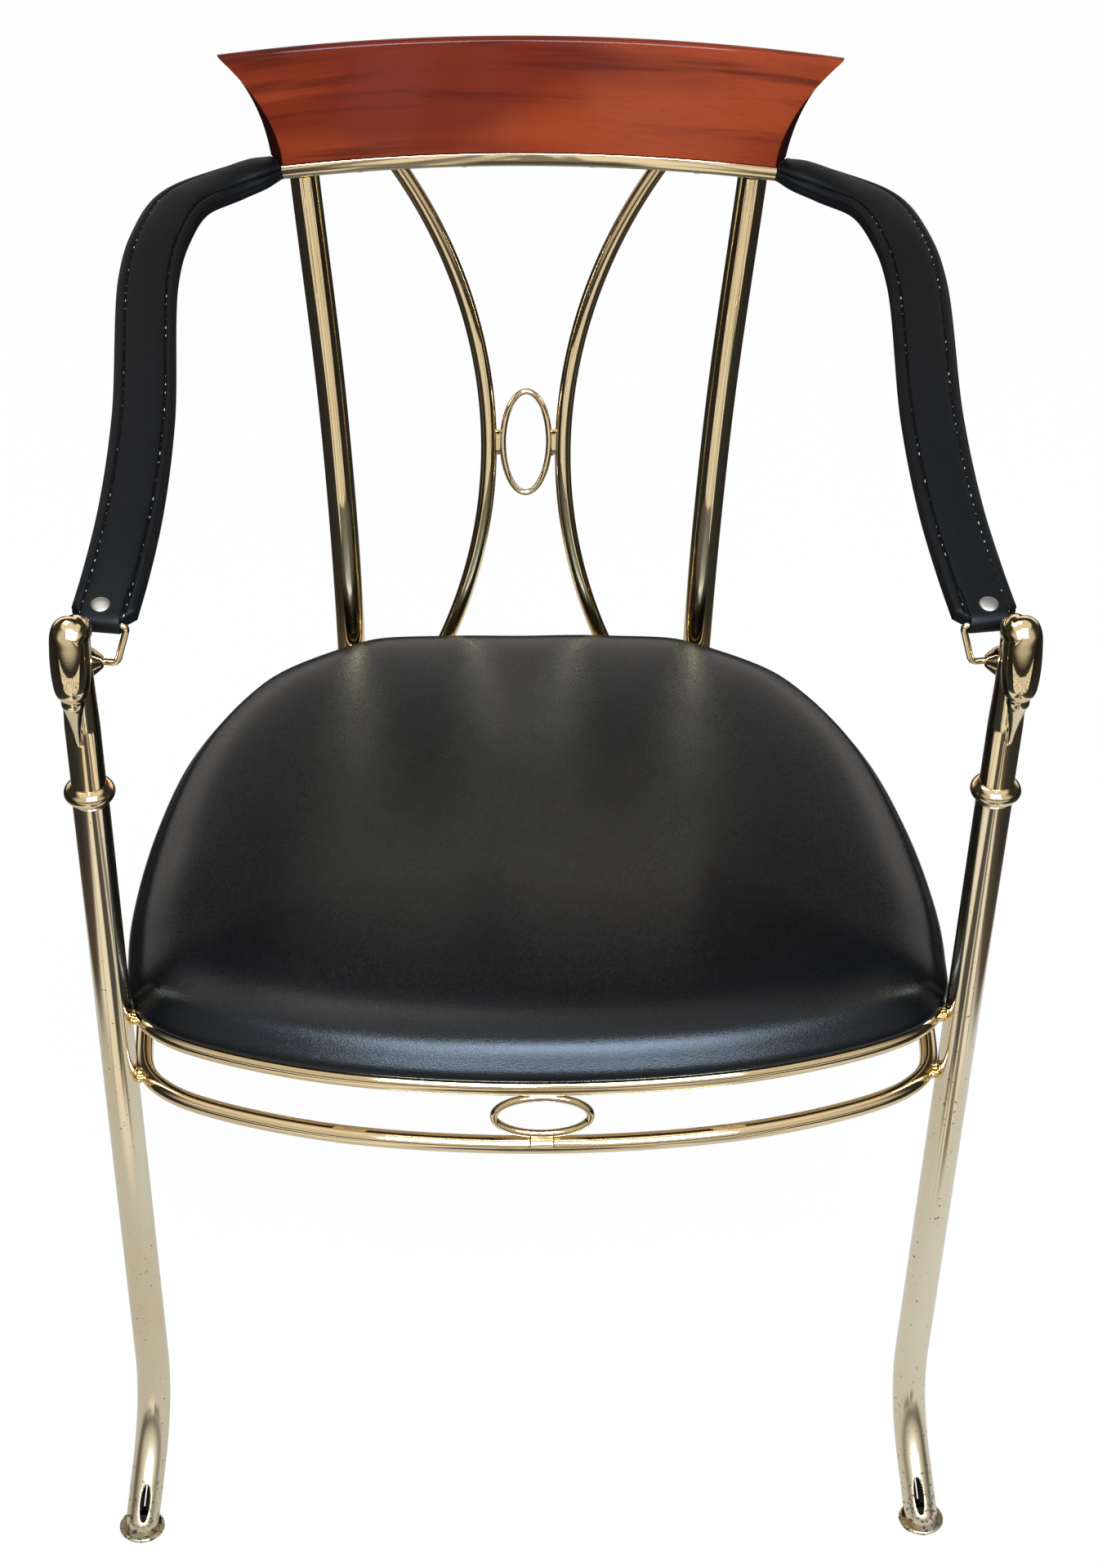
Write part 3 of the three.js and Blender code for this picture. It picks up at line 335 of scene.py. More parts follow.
def mix_colour(tree, share, a, b):
    node = add_node(tree, "ShaderNodeMix", {"data_type": "RGBA"})
    feed(tree, socket_of(node.inputs, "Factor", "VALUE"), share)
    feed(tree, socket_of(node.inputs, "A", "RGBA"), a)
    feed(tree, socket_of(node.inputs, "B", "RGBA"), b)
    return socket_of(node.outputs, "Result", "RGBA")


def noise(tree, vector, scale=1.0, detail=2.0, roughness=0.5):
    """A cloudy value from 0 to 1."""
    sizes = {"Scale": scale, "Detail": detail, "Roughness": roughness}
    return add_node(tree, "ShaderNodeTexNoise", Vector=vector, **sizes).outputs["Fac"]


def stretched(tree, vector, scale):
    return add_node(tree, "ShaderNodeMapping", Vector=vector, Scale=scale).outputs[0]


def place_on(tree):
    return tree.nodes.new("ShaderNodeTexCoord").outputs["Object"]


def bumpy(tree, shader, height, strength, distance):
    bump = add_node(tree, "ShaderNodeBump", Height=height, Strength=strength, Distance=distance)
    feed(tree, shader.inputs["Normal"], bump.outputs["Normal"])


def new_material(name, slot, **plain):
    """A material for a slot of the model, with its plain shader values set."""
    material = bpy.data.materials.new(name)
    material.use_nodes = True
    material["slot"] = slot
    tree = material.node_tree
    shader = tree.nodes["Principled BSDF"]
    for key, value in plain.items():
        shader.inputs[key.replace("_", " ")].default_value = value
    return material, tree, shader, place_on(tree)


print("node kit ready")

# %% [markdown]
# A group's sockets are stated before its nodes are laid. One helper opens a group and hands back
# the sockets inside it. Another places a group in a material, with that finish's own values.

# %% Groups with named inputs


def new_group(name, inputs, outputs):
    """A shader group, and the sockets that start and end it."""
    group = bpy.data.node_groups.new(name, "ShaderNodeTree")
    group.interface.new_socket("Place", in_out="INPUT", socket_type="NodeSocketVector")
    for label, value in inputs.items():
        socket = group.interface.new_socket(label, in_out="INPUT", socket_type="NodeSocketFloat")
        socket.default_value = value
    for label in outputs:
        group.interface.new_socket(label, in_out="OUTPUT", socket_type="NodeSocketFloat")
    into, out = group.nodes.new("NodeGroupInput"), group.nodes.new("NodeGroupOutput")
    return group, into.outputs, out.inputs


def grouped(tree, group, **values):
    return add_node(tree, "ShaderNodeGroup", {"node_tree": group}, **values).outputs


print("groups can be opened")

# %% [markdown]
# Grain is a net of small cells. Where two cells meet there is a crease, and slow swells lie under
# them, so that no patch looks like the next.

# %% The grain group
sizes = {"Cells per metre": 900.0, "Depth": 1.0}
grain_group, into, out = new_group("fine grain", sizes, ("Height", "Creases"))
cells = add_node(
    grain_group,
    "ShaderNodeTexVoronoi",
    {"feature": "DISTANCE_TO_EDGE"},
    Vector=into["Place"],
    Scale=into["Cells per metre"],
)
creases = ramp(grain_group, cells.outputs["Distance"], 0.0, 0.32)
swells = times(grain_group, noise(grain_group, into["Place"], 220.0, 3.0), 0.9)
pebble = plus(grain_group, creases, swells)
feed(grain_group, out["Height"], times(grain_group, pebble, into["Depth"]))
feed(grain_group, out["Creases"], creases)
print("grain group:", len(grain_group.nodes), "nodes")

# %% [markdown]
# Wear comes in small marks that gather in some places. Fine noise makes the marks, slow noise
# gathers them, and only what stands above a limit shows.

# %% The wear group
sizes = {"Marks per metre": 260.0, "Amount": 0.3}
wear_group, into, out = new_group("scattered wear", sizes, ("Mask", "Cloud"))
marks = noise(wear_group, into["Place"], into["Marks per metre"], 4.0, 0.62)
cloud = noise(wear_group, into["Place"], 9.0)
limit = maths(wear_group, "SUBTRACT", 0.82, times(wear_group, into["Amount"], 0.3))
over = maths(wear_group, "SUBTRACT", plus(wear_group, marks, times(wear_group, cloud, 0.12)), limit)
feed(wear_group, out["Mask"], ramp(wear_group, over, 0.02, 0.07))
feed(wear_group, out["Cloud"], cloud)
print("wear group:", len(wear_group.nodes), "nodes")

# %% [markdown]
# ## Brass
# The frame is polished brass that has been lacquered: pale gold, nearly a mirror, with faint
# clouds where it has dulled and small dark marks where the lacquer has worn through. Inside a
# tube, where the mesh carries the mark "bore", the metal is dull and its colour is painted
# shade, nearly black.

# %% Brass, in a polished and a tarnished grade


def brass_finish(name, amount, pale, dark, rough):
    material, tree, shader, place = new_material(name, "brass", Metallic=1.0)
    height = add_node(tree, "ShaderNodeSeparateXYZ", i0=place).outputs["Z"]
    near_floor = ramp(tree, height, 0.0, 0.05, amount * 1.3 + 0.25, amount)
    wear = grouped(tree, wear_group, Place=place, Marks_per_metre=320.0, Amount=near_floor)
    clouded = [c * s for c, s in zip(pale, (0.94, 0.92, 0.86, 1))]
    clean = mix_colour(tree, ramp(tree, wear["Cloud"], 0.35, 0.7), pale, clouded)
    marked = mix_colour(tree, wear["Mask"], clean, dark)
    bore_shade = add_node(tree, "ShaderNodeAttribute", {"attribute_name": "bore"}).outputs["Fac"]
    # Painted shade: inside the bore the colour is nearly black.
    colour = mix_colour(tree, bore_shade, marked, (0.035, 0.026, 0.018, 1))
    feed(tree, shader.inputs["Base Color"], colour)
    dull = plus(tree, times(tree, wear["Mask"], 0.3), times(tree, bore_shade, 0.5))
    smooth = plus(tree, times(tree, wear["Cloud"], rough * 0.7), rough * 0.6)
    trodden = plus(tree, dull, ramp(tree, height, 0.11, 0.03, 0.0, 2.4 * rough))
    feed(tree, shader.inputs["Roughness"], plus(tree, smooth, trodden))
    bumpy(tree, shader, noise(tree, place, 60.0), 0.15, 0.0002)
    return material


pale, dark = (0.91, 0.73, 0.45, 1), (0.32, 0.22, 0.11, 1)
brass = brass_finish("polished brass", 0.03, pale, dark, 0.05)
pale, dark = (0.9, 0.77, 0.54, 1), (0.16, 0.11, 0.07, 1)
worn_brass = brass_finish("worn brass", 0.42, pale, dark, 0.09)
pale, dark = (0.92, 0.68, 0.3, 1), (0.4, 0.24, 0.08, 1)
braze = brass_finish("golden braze", 0.2, pale, dark, 0.12)
print("brasses:", brass.name, worn_brass.name, braze.name)

# %% [markdown]
# The rivets are nickel plated, and the screws and staples are zinc plated steel. Both are satin
# metals with small marks, so one helper makes them.

# %% Plated metals


def plated(name, slot, marks, amount, clean, marked, rough, clouding):
    material, tree, shader, place = new_material(name, slot, Metallic=1.0)
    wear = grouped(tree, wear_group, Place=place, Marks_per_metre=marks, Amount=amount)
    feed(tree, shader.inputs["Base Color"], mix_colour(tree, wear["Mask"], clean, marked))
    feed(tree, shader.inputs["Roughness"], plus(tree, times(tree, wear["Cloud"], clouding), rough))
    return material


clean, marked = (0.5, 0.47, 0.42, 1), (0.3, 0.26, 0.22, 1)
nickel = plated("rivet nickel", "nickel", 900.0, 0.5, clean, marked, 0.36, 0.15)
clean, marked = (0.5, 0.51, 0.53, 1), (0.25, 0.22, 0.2, 1)
steel = plated("zinc steel", "steel", 500.0, 0.3, clean, marked, 0.28, 0.2)
print("plated metals:", nickel.name, steel.name)

# %% [markdown]
# ## Mahogany
# The rail is a tablet of mahogany under a thick gloss varnish. The figure runs along the rail:
# broad dark streaks over red-brown, with an orange glow between them and fine pores. The varnish
# is the clear coat of the shader, so its sharp gloss lies over the soft colour of the wood.

# %% Mahogany
varnish = {"Specular_IOR_Level": 0.0, "Coat_Weight": 0.38, "Coat_Roughness": 0.08}
mahogany, tree, shader, place = new_material("varnished mahogany", "mahogany", Roughness=0.35, **varnish)
bend = stretched(tree, place, (2.2, 2.2, 9.0))
bend = add_node(tree, "ShaderNodeTexNoise", Vector=bend, Scale=1.0, Detail=1.0).outputs["Color"]
lift = {"i0": bend, "i1": (0.0, 0.0, 0.035), "i2": place}
warped = add_node(tree, "ShaderNodeVectorMath", {"operation": "MULTIPLY_ADD"}, **lift).outputs[0]
figure = noise(tree, stretched(tree, warped, (3.4, 6.0, 62.0)), 1.0, 4.0, 0.55)
glow = noise(tree, stretched(tree, warped, (5.0, 4.0, 17.0)))
pores = noise(tree, stretched(tree, place, (70.0, 70.0, 900.0)))
red_brown, orange = (0.135, 0.0145, 0.005, 1), (0.25, 0.034, 0.0085, 1)
wood = mix_colour(tree, ramp(tree, glow, 0.38, 0.64), red_brown, orange)
wood = mix_colour(tree, ramp(tree, figure, 0.49, 0.66, 0.0, 0.75), wood, (0.045, 0.005, 0.003, 1))
wood = mix_colour(tree, ramp(tree, pores, 0.55, 0.75, 0.0, 0.3), wood, (0.07, 0.01, 0.005, 1))
bumpy(tree, shader, noise(tree, place, 130.0, 1.0), 0.2, 0.0002)
print("mahogany:", len(tree.nodes), "nodes")

# %% [markdown]
# ## Leather
# The seat is smooth, thin black leather with a fine grain and a soft gloss. The arms are covered
# with the same hide, but duller. Both are a little paler in some places, and where they are rubbed.

# %% Leather for the seat and for the arms


def leather_finish(name, slot, colour, worn, rough, cells, depth, gloss):
    material, tree, shader, place = new_material(name, slot, Specular_IOR_Level=gloss)
    grain = grouped(tree, grain_group, Place=place, Cells_per_metre=cells, Depth=depth)
    wear = grouped(tree, wear_group, Place=place, Marks_per_metre=150.0, Amount=0.1)
    paler = [c * 1.25 for c in colour[:3]] + [1]
    base = mix_colour(tree, ramp(tree, wear["Cloud"], 0.3, 0.75), colour, paler)
    feed(tree, shader.inputs["Base Color"], mix_colour(tree, wear["Mask"], base, worn))
    matt = times(tree, maths(tree, "SUBTRACT", 1.0, grain["Creases"]), 0.09)
    feed(tree, shader.inputs["Roughness"], plus(tree, matt, rough))
    bumpy(tree, shader, grain["Height"], 0.35, 0.00012)
    return material


black, rubbed = (0.0016, 0.0017, 0.002, 1), (0.009, 0.009, 0.009, 1)
seat_leather = leather_finish("seat leather", "seat_leather", black, rubbed, 0.2, 800.0, 1.0, 0.33)
black, rubbed = (0.002, 0.002, 0.0021, 1), (0.008, 0.008, 0.008, 1)
arm_leather = leather_finish("arm leather", "arm_leather", black, rubbed, 0.42, 1100.0, 0.8, 0.2)
print("leathers:", seat_leather.name, arm_leather.name)

# %% [markdown]
# The thread is waxed and mostly black. Here and there the wax is rubbed off and pale fibres show,
# so a coarse noise picks which stitches are pale.

# %% Waxed thread
thread, tree, shader, place = new_material("waxed thread", "arm_leather", Roughness=0.7)
bare = ramp(tree, noise(tree, place, 48.0, 1.0), 0.48, 0.57)
fibres = mix_colour(tree, bare, (0.012, 0.012, 0.012, 1), (0.5, 0.5, 0.48, 1))
feed(tree, shader.inputs["Base Color"], fibres)
print("thread:", thread.name)

# %% [markdown]
# ## Front legs
# Each front leg is one straight tube that leans in and kicks forward at the ankle. The tube is a
# skin of round rings along a path of two straight runs and a bend. Low on the foot a leaf shaped
# slot is cut through its wall, so the grid of faces is opened there and given a thickness.

# %% Front legs
FIT = 0.3
LEG_RADIUS, LEG_WALL = 11.25, 1.6
COLLAR_HEIGHT, COLLAR_HALF_SPREAD = 580.0, 275.5
ANKLE = np.array([260.0, 0.0, 67.0])
DISC_THICKNESS = 3.0
FRONT_FOOT = np.array([269.5, -56.0, DISC_THICKNESS + FIT])
BEND_RUN = 44.0
LEAN = (COLLAR_HALF_SPREAD - ANKLE[0]) / (COLLAR_HEIGHT - ANKLE[2])
COLLAR_RADIUS, COLLAR_BULGE = 15.7, 17.6
COLLAR_HALF_HEIGHT = COLLAR_BULGE / 2 * math.sqrt(1 - (LEG_RADIUS / COLLAR_RADIUS) ** 2)


def leg_axis_x(height):
    return COLLAR_HALF_SPREAD + (height - COLLAR_HEIGHT) * LEAN


def leg_path():
    shank, kick = unit([LEAN, 0, 1]), unit(FRONT_FOOT - ANKLE)
    bend_top, bend_end = ANKLE + BEND_RUN * shank, ANKLE + BEND_RUN * kick
    height = COLLAR_HEIGHT - COLLAR_HALF_HEIGHT - FIT
    w = np.linspace(0, 1, 60)[:, None]
    bend = (1 - w) ** 2 * bend_top + 2 * w * (1 - w) * ANKLE + w * w * bend_end
    return np.vstack([[leg_axis_x(height), 0, height], bend, FRONT_FOOT])


LEG_STEPS, LEG_SIDES = 560, 64
points, tangents = even_steps(leg_path(), LEG_STEPS)
leg_points, leg_faces = round_tube(points, tangents, X, LEG_RADIUS, LEG_SIDES, level_ends=True)
print("front leg:", len(leg_faces), "faces before its slot is cut")

# %% [markdown]
# The slot is a leaf, so it is measured in halves of its own width and length: a face whose middle
# lies within one such unit is left out. The points round the hole are then moved onto the leaf's
# edge, or the edge would look like a stair.

# %% The slot in the foot
SLOT_LENGTH, SLOT_WIDTH, SLOT_RISE = 26.0, 7.0, 1.6
HALF_SIDES, SLOT_RING = LEG_SIDES // 2, 540


def middle(a):
    """The mean over each face's four corners."""
    wide = a + np.roll(a, -1, 1)
    return wide[:-1] / 4 + wide[1:] / 4


grid = leg_points.reshape(LEG_STEPS + 1, LEG_SIDES, 3)
leg_length = np.linalg.norm(np.diff(points, axis=0), axis=1).sum()
from_floor = np.linspace(leg_length, 0, LEG_STEPS + 1)
front = int(np.argmin(grid[SLOT_RING, :, 1]))
arc = LEG_RADIUS * 2 * math.pi / LEG_SIDES
offset = ((np.arange(LEG_SIDES) - front + HALF_SIDES) % LEG_SIDES - HALF_SIDES) * arc
along = from_floor - SLOT_RISE - SLOT_LENGTH / 2
u = offset[None, :] / (SLOT_WIDTH / 2) * np.ones((LEG_STEPS + 1, 1))
v = along[:, None] / (SLOT_LENGTH / 2) * np.ones((1, LEG_SIDES))
reach = np.hypot(u, v)
hole = np.hypot(middle(u), middle(v)) < 1.0
rim = (reach > 0.55) & (reach < 1.6)
for i, j in np.argwhere(rim & (np.abs(v) < 1.4)):
    around = hole[max(i - 1, 0):i + 1, [(j - 1) % LEG_SIDES, j]]
    if around.any() and not around.all():
        share = 1 / reach[i, j]
        along_shift = (v[i, j] * share - v[i, j]) * SLOT_LENGTH / 2
        side_shift = (u[i, j] * share - u[i, j]) * SLOT_WIDTH / 2
        radial = unit(grid[i, j] - points[i])
        across = unit(np.cross(tangents[i], radial))
        grid[i, j] = grid[i, j] - tangents[i] * along_shift + across * side_shift
kept = [f for n, f in enumerate(leg_faces[:-2]) if not hole[n // LEG_SIDES, n % LEG_SIDES]]
leg_mesh = mesh_from("right_front_leg_tube", grid.reshape(-1, 3), kept)
outer_points = len(leg_mesh.vertices)
for leg in pair("front_leg_tube", leg_mesh, worn_brass, "front_leg"):
    wall = leg.modifiers.new("wall", "SOLIDIFY")
    wall.thickness, wall.offset = LEG_WALL / 1000, -1
    finished(leg)
    # The inner wall carries the mark for the painted shade inside the bore.
    bore = leg.data.attributes.new("bore", "FLOAT", "POINT")
    bore_shade = [float(i >= outer_points) for i in range(len(leg.data.vertices))]
    bore.data.foreach_set("value", bore_shade)
    for v in leg.data.vertices:
        v.co.z = max(v.co.z, (DISC_THICKNESS + FIT) / 1000)
print("front leg:", len(leg.data.polygons), "faces,", int(hole.sum()), "left out for the slot")

# %% [markdown]
# ## Rear legs
# A rear leg is one tube from the strip under the rail to the floor: it leans back and out at the
# top and sweeps back at the foot. Its curve goes through six points.

# %% Rear legs
RAIL_RADIUS, RAIL_FRONT_Y = 643.0, 505.7
STRIP_BOTTOM, STRIP_HEIGHT, STRIP_DEPTH = 760.0, 10.0, 20.0
UPPER_RING, LOWER_RING = 402.0, 354.5
POST_RADIUS = 10.3


def rail_face_y(x):
    return RAIL_FRONT_Y - RAIL_RADIUS + np.sqrt(RAIL_RADIUS**2 - np.asarray(x, float) ** 2)


def between(a, b, shares):
    return a + (b - a) * np.array(shares)


POST_TOP = np.array([156.8, rail_face_y(156.8) + STRIP_DEPTH / 2, STRIP_BOTTOM - FIT])
POST_SEAT = np.array([128.5, 441.0, UPPER_RING])
REAR_FOOT = np.array([150.0, 507.0, DISC_THICKNESS + FIT])
post_curve = smooth_curve([
    POST_TOP,
    between(POST_SEAT, POST_TOP, (0.36, 0.5, 0.5)),
    POST_SEAT,
    between(POST_SEAT, REAR_FOOT, (0.04, 0.02, 0.36)),
    between(POST_SEAT, REAR_FOOT, (0.5, 0.46, 0.76)),
    REAR_FOOT,
])


def post_at(height):
    order = np.argsort(post_curve[:, 2])
    return np.array([np.interp(height, post_curve[order, 2], post_curve[order, k]) for k in range(3)])


points, tangents = even_steps(post_curve, 110)
post_points, post_faces = round_tube(points, tangents, X, POST_RADIUS, 56, level_ends=True)
post_mesh = mesh_from("right_rear_leg_tube", post_points, post_faces)
pair("rear_leg_tube", post_mesh, brass, "rear_leg")
print("rear leg:", len(post_mesh.polygons), "faces")

# %% [markdown]
# ## Feet and collars
# Feet and collars are turned parts. A profile of radius and height is spun round an axis.

# %% Feet and collars
DISC_RADIUS = 15.5
foot_profile = [(0, 0), (DISC_RADIUS - 1.6, 0), (DISC_RADIUS - 0.5, 0.3), (DISC_RADIUS, 1.0)]
foot_profile += [(DISC_RADIUS, 1.9), (DISC_RADIUS - 0.4, 2.6), (DISC_RADIUS - 1.2, 3.0)]
foot_profile += [(DISC_RADIUS - 2.2, 2.8), (LEG_RADIUS + 1, 2.7), (0, 2.7)]
foot_points, foot_faces = turned(foot_profile)
for name, foot in (("front_foot", FRONT_FOOT), ("rear_foot", REAR_FOOT)):
    placed = moved(foot_points, (foot[0], foot[1], 0))
    shape = mesh_from("right_" + name + "_disc", placed, foot_faces, 60)
    pair(name + "_disc", shape, worn_brass, name)

half_bulge = COLLAR_BULGE / 2
collar_turns = np.linspace(-1, 1, 25) * math.asin(COLLAR_HALF_HEIGHT / half_bulge)
collar_profile = [(LEG_RADIUS - 2, -COLLAR_HALF_HEIGHT - 0.2)]
collar_profile += [(COLLAR_RADIUS * math.cos(t), half_bulge * math.sin(t)) for t in collar_turns]
collar_profile += [(LEG_RADIUS - 2, COLLAR_HALF_HEIGHT + 0.2)]
collar_points, collar_faces = turned(collar_profile)
TILT = math.atan(LEAN)
LEG_TOP = np.array([COLLAR_HALF_SPREAD, 0, COLLAR_HEIGHT])
collar_points = moved(leaning(collar_points, TILT), LEG_TOP)
collar_mesh = mesh_from("right_collar_bead", collar_points, collar_faces, 60)
pair("collar_bead", collar_mesh, brass, "collar")
print("a foot disc has", len(foot_faces), "faces, a collar", len(collar_faces))

# %% [markdown]
# ## Gooseneck finials
# The finials are castings: a stem that curls over into a bird's head whose bill rests on the stem,
# with a lug behind for the arm's link. Castings have soft, flowing joins. So the parts are made
# apart, melted into one skin by a voxel remesh, and smoothed.

# %% Finials
STEM_RADIUS, NECK_RADIUS = 10.75, 9.25
STEM, FINIAL_HEIGHT, CURL = 48.0, 127.5, 12.5
HEAD_LENGTH, HEAD_RADIUS, HEAD_REACH, HEAD_TILT = 54.0, 11.9, 13.5, 0.36
RIDGE_RADIUS, BEAK_RADIUS, TIP_RADIUS, TIP_HEIGHT = 9.4, 6.3, 1.5, 41.0
HEAD_ASIDE = 1.0


def finial_point(reach, height, sideways=0.0):
    return np.array([sideways, -reach, height])


def neck_shape():
    bend = FINIAL_HEIGHT - NECK_RADIUS - CURL
    turns = ((0, 0, -0.6), (0.3, 0.72, -2.6), (1, 1, -3.4), (1.7, 0.72, -0.5))
    curl = [finial_point(-4.5 + CURL * r, bend + CURL * h, a) for r, h, a in turns]
    sway = finial_point(-1.8, (STEM + bend) / 2)
    points, tangents = even_steps(smooth_curve([finial_point(0, STEM), sway] + curl), 60)
    radii = STEM_RADIUS + (NECK_RADIUS - STEM_RADIUS) * np.minimum(1, np.linspace(0, 2, 61))
    radii *= 1 - 0.4 * np.clip((np.linspace(0, 1, 61) - 0.84) / 0.16, 0, 1) ** 1.5
    rings = [round_ring(p, t, X, r, 48) for p, t, r in zip(points, tangents, radii)]
    heights = np.linspace(COLLAR_HALF_HEIGHT - 1, STEM - 1, 12)
    foot = [round_ring(finial_point(0, h), Z, X, STEM_RADIUS, 48) for h in heights]
    return skin(foot + rings)


def spun(pairs, top, lean):
    """A turned shape from the top down, drawn smoothly through pairs of depth and radius."""
    outline = smooth_curve([(d, r, 0) for d, r in pairs], fine=10)
    rings = []
    axis = np.array([0, -math.sin(lean), -math.cos(lean)])
    for depth, radius, _ in outline:
        rings.append(round_ring(top + axis * depth, axis, X, max(radius, 0.05), 48))
    return skin(rings)


def head_shape():
    shares = [(0, 0), (0.02, 0.42), (0.08, 0.74), (0.19, 0.94)]
    shares += [(0.36, 1), (0.56, 1), (0.72, 0.94), (0.84, 0.84)]
    pairs = [(a * HEAD_LENGTH, w * HEAD_RADIUS) for a, w in shares]
    pairs += [(HEAD_LENGTH * 0.91, RIDGE_RADIUS * 0.86), (HEAD_LENGTH * 0.96, BEAK_RADIUS * 0.7)]
    top = finial_point(HEAD_REACH - HEAD_LENGTH / 2 * math.sin(HEAD_TILT), FINIAL_HEIGHT, HEAD_ASIDE)
    return spun(pairs, top, HEAD_TILT)


def beak_shape():
    """A wedge, broad across at the head and narrow at the tip, with a raised rim at its root."""
    reach = HEAD_REACH + HEAD_LENGTH / 2 * math.sin(HEAD_TILT) * 0.8
    root = finial_point(reach, FINIAL_HEIGHT - HEAD_LENGTH * 0.84, HEAD_ASIDE)
    tip = finial_point(STEM_RADIUS + TIP_RADIUS + FIT - 1.2, TIP_HEIGHT, 1.5)
    along = tip - root
    shares = [(-0.1, 0.7, 0.7), (0.06, 1.08, 1.05), (0.13, 1.12, 1.08), (0.2, 0.98, 0.95)]
    shares += [(0.4, 0.68, 0.8), (0.65, 0.42, 0.6), (0.9, 0.28, 0.4), (1, 0.14, 0.2)]
    rings = []
    for share, wide, deep in shares:
        ring = round_ring(np.zeros(3), unit(along), X, BEAK_RADIUS, 40)
        rings.append(root + along * share + ring * (wide, deep, deep))
    return skin(rings)


def lug_shape():
    """A horn that points inwards and ends round the link's bar."""
    swells = [(3.0, 5.0), (1.0, 8.6), (-3.0, 10.0), (-6.5, 9.4)]
    swells += [(-9.5, 7.4), (-12.0, 5.4), (-13.6, 4.2), (-14.4, 3.0)]
    rings = []
    for sideways, radius in swells:
        back = 16.0 + 1.5 * min(1, max(0, -sideways / 8))
        rings.append(round_ring(finial_point(-back, 81.5, sideways), X, Z, radius, 40))
    return skin(rings)


shapes = [neck_shape(), head_shape(), beak_shape(), lug_shape()]
print("the finial's", len(shapes), "parts have", sum(len(f) for _, f in shapes), "faces")

# %% [markdown]
# The parts are now leaned with the leg, set on its top and melted together.

# %% Melt the finial


def melted(name, shapes, voxel, passes):
    """One skin over several closed shapes."""
    whole = bmesh.new()
    for points, faces in shapes:
        corners = [whole.verts.new(p) for p in metres(points)]
        for face in faces:
            whole.faces.new([corners[i] for i in face])
    bmesh.ops.recalc_face_normals(whole, faces=whole.faces)
    mesh = bpy.data.meshes.new(name)
    whole.to_mesh(mesh)
    whole.free()
    carrier = bpy.data.objects.new(name, mesh)
    scene.collection.objects.link(carrier)
    remesh = carrier.modifiers.new("melt", "REMESH")
    remesh.mode, remesh.voxel_size, remesh.use_smooth_shade = "VOXEL", voxel / 1000, True
    soften = carrier.modifiers.new("soften", "SMOOTH")
    soften.factor, soften.iterations = 0.5, passes
    mesh = finished(carrier).data
    bpy.data.objects.remove(carrier)
    return mesh


shapes = [(moved(leaning(p, TILT), LEG_TOP), f) for p, f in shapes]
finial_mesh = melted("right_finial_casting", shapes, 0.6, 5)
pair("finial_casting", finial_mesh, brass, "finial")
print("finial:", len(finial_mesh.polygons), "faces")

# %% [markdown]
# ## Seat rings, bowed rods and ovals
# The seat hangs between two rings of solid rod. Both follow one outline that leans on the four
# legs. Behind, two rods bow towards each other and hold an oval of wire between them.

# %% Seat rings
ROD_RADIUS, BOW_FRONT, RING_BACK_Y = 5.85, 67.0, 434.5
FRONT_SHARES = [(0.5, 0.83), (0.835, 0.44), (0.945, 0.19)]
LEG_TOUCH, POST_TOUCH = 0.35, 0.93
SIDE_SHARES = [(1.018, 0.1), (1.02, 0.21), (0.985, 0.42), (0.905, 0.635), (0.775, 0.8), (0.6, 0.93)]


def ring_outline(height):
    """A closed outline that touches each leg's tube at its own angle."""
    reach = LEG_RADIUS + ROD_RADIUS + FIT
    leg_x = leg_axis_x(height) - reach * math.cos(LEG_TOUCH)
    leg_y = reach * math.sin(LEG_TOUCH)
    post = post_at(height)
    reach = POST_RADIUS + ROD_RADIUS + FIT
    post_x = post[0] - reach * math.cos(POST_TOUCH)
    post_y = post[1] - reach * math.sin(POST_TOUCH)
    half = [(x * leg_x, -y * BOW_FRONT) for x, y in FRONT_SHARES] + [(leg_x, leg_y)]
    half += [(x * leg_x, leg_y + y * (RING_BACK_Y - leg_y)) for x, y in SIDE_SHARES]
    half += [(post_x, post_y), (post_x * 0.5, RING_BACK_Y)]
    outline = [(0, -BOW_FRONT)] + half + [(0, RING_BACK_Y)] + [(-x, y) for x, y in half[::-1]]
    return smooth_curve([(x, y, height) for x, y in outline], closed=True)


for level, height in (("upper", UPPER_RING), ("lower", LOWER_RING)):
    points, tangents = even_steps(ring_outline(height), 420, closed=True)
    ring_points, ring_faces = round_tube(points, tangents, Z, ROD_RADIUS, 40, looped=True)
    shape = mesh_from(level + "_ring_rod", ring_points, ring_faces)
    piece(level + "_ring_rod", shape, brass, [level + "_seat_ring"])
print("seat rings:", len(shape.polygons), "faces each")

# %% [markdown]
# The bowed rods are arcs that come nearest to each other near the middle of their height. Each
# also leans back from the upper ring to the strip.

# %% Bowed rods
BOW_RADIUS, BOW_GAP, BOW_WAIST, BOW_ROD = 360.0, 26.9, 553.0, 5.75
BOW_FOOT, BOW_TOP = UPPER_RING - ROD_RADIUS, STRIP_BOTTOM - FIT
BOW_FOOT_Y = RING_BACK_Y + ROD_RADIUS + BOW_ROD + FIT


def bow_x(height):
    return BOW_GAP + BOW_RADIUS - np.sqrt(BOW_RADIUS**2 - (height - BOW_WAIST) ** 2)


BOW_TOP_Y = rail_face_y(bow_x(BOW_TOP)) + STRIP_DEPTH / 2


def bow_y(height):
    rise = np.maximum(0, height - UPPER_RING)
    return BOW_FOOT_Y + (BOW_TOP_Y - BOW_FOOT_Y) * rise / (BOW_TOP - UPPER_RING)


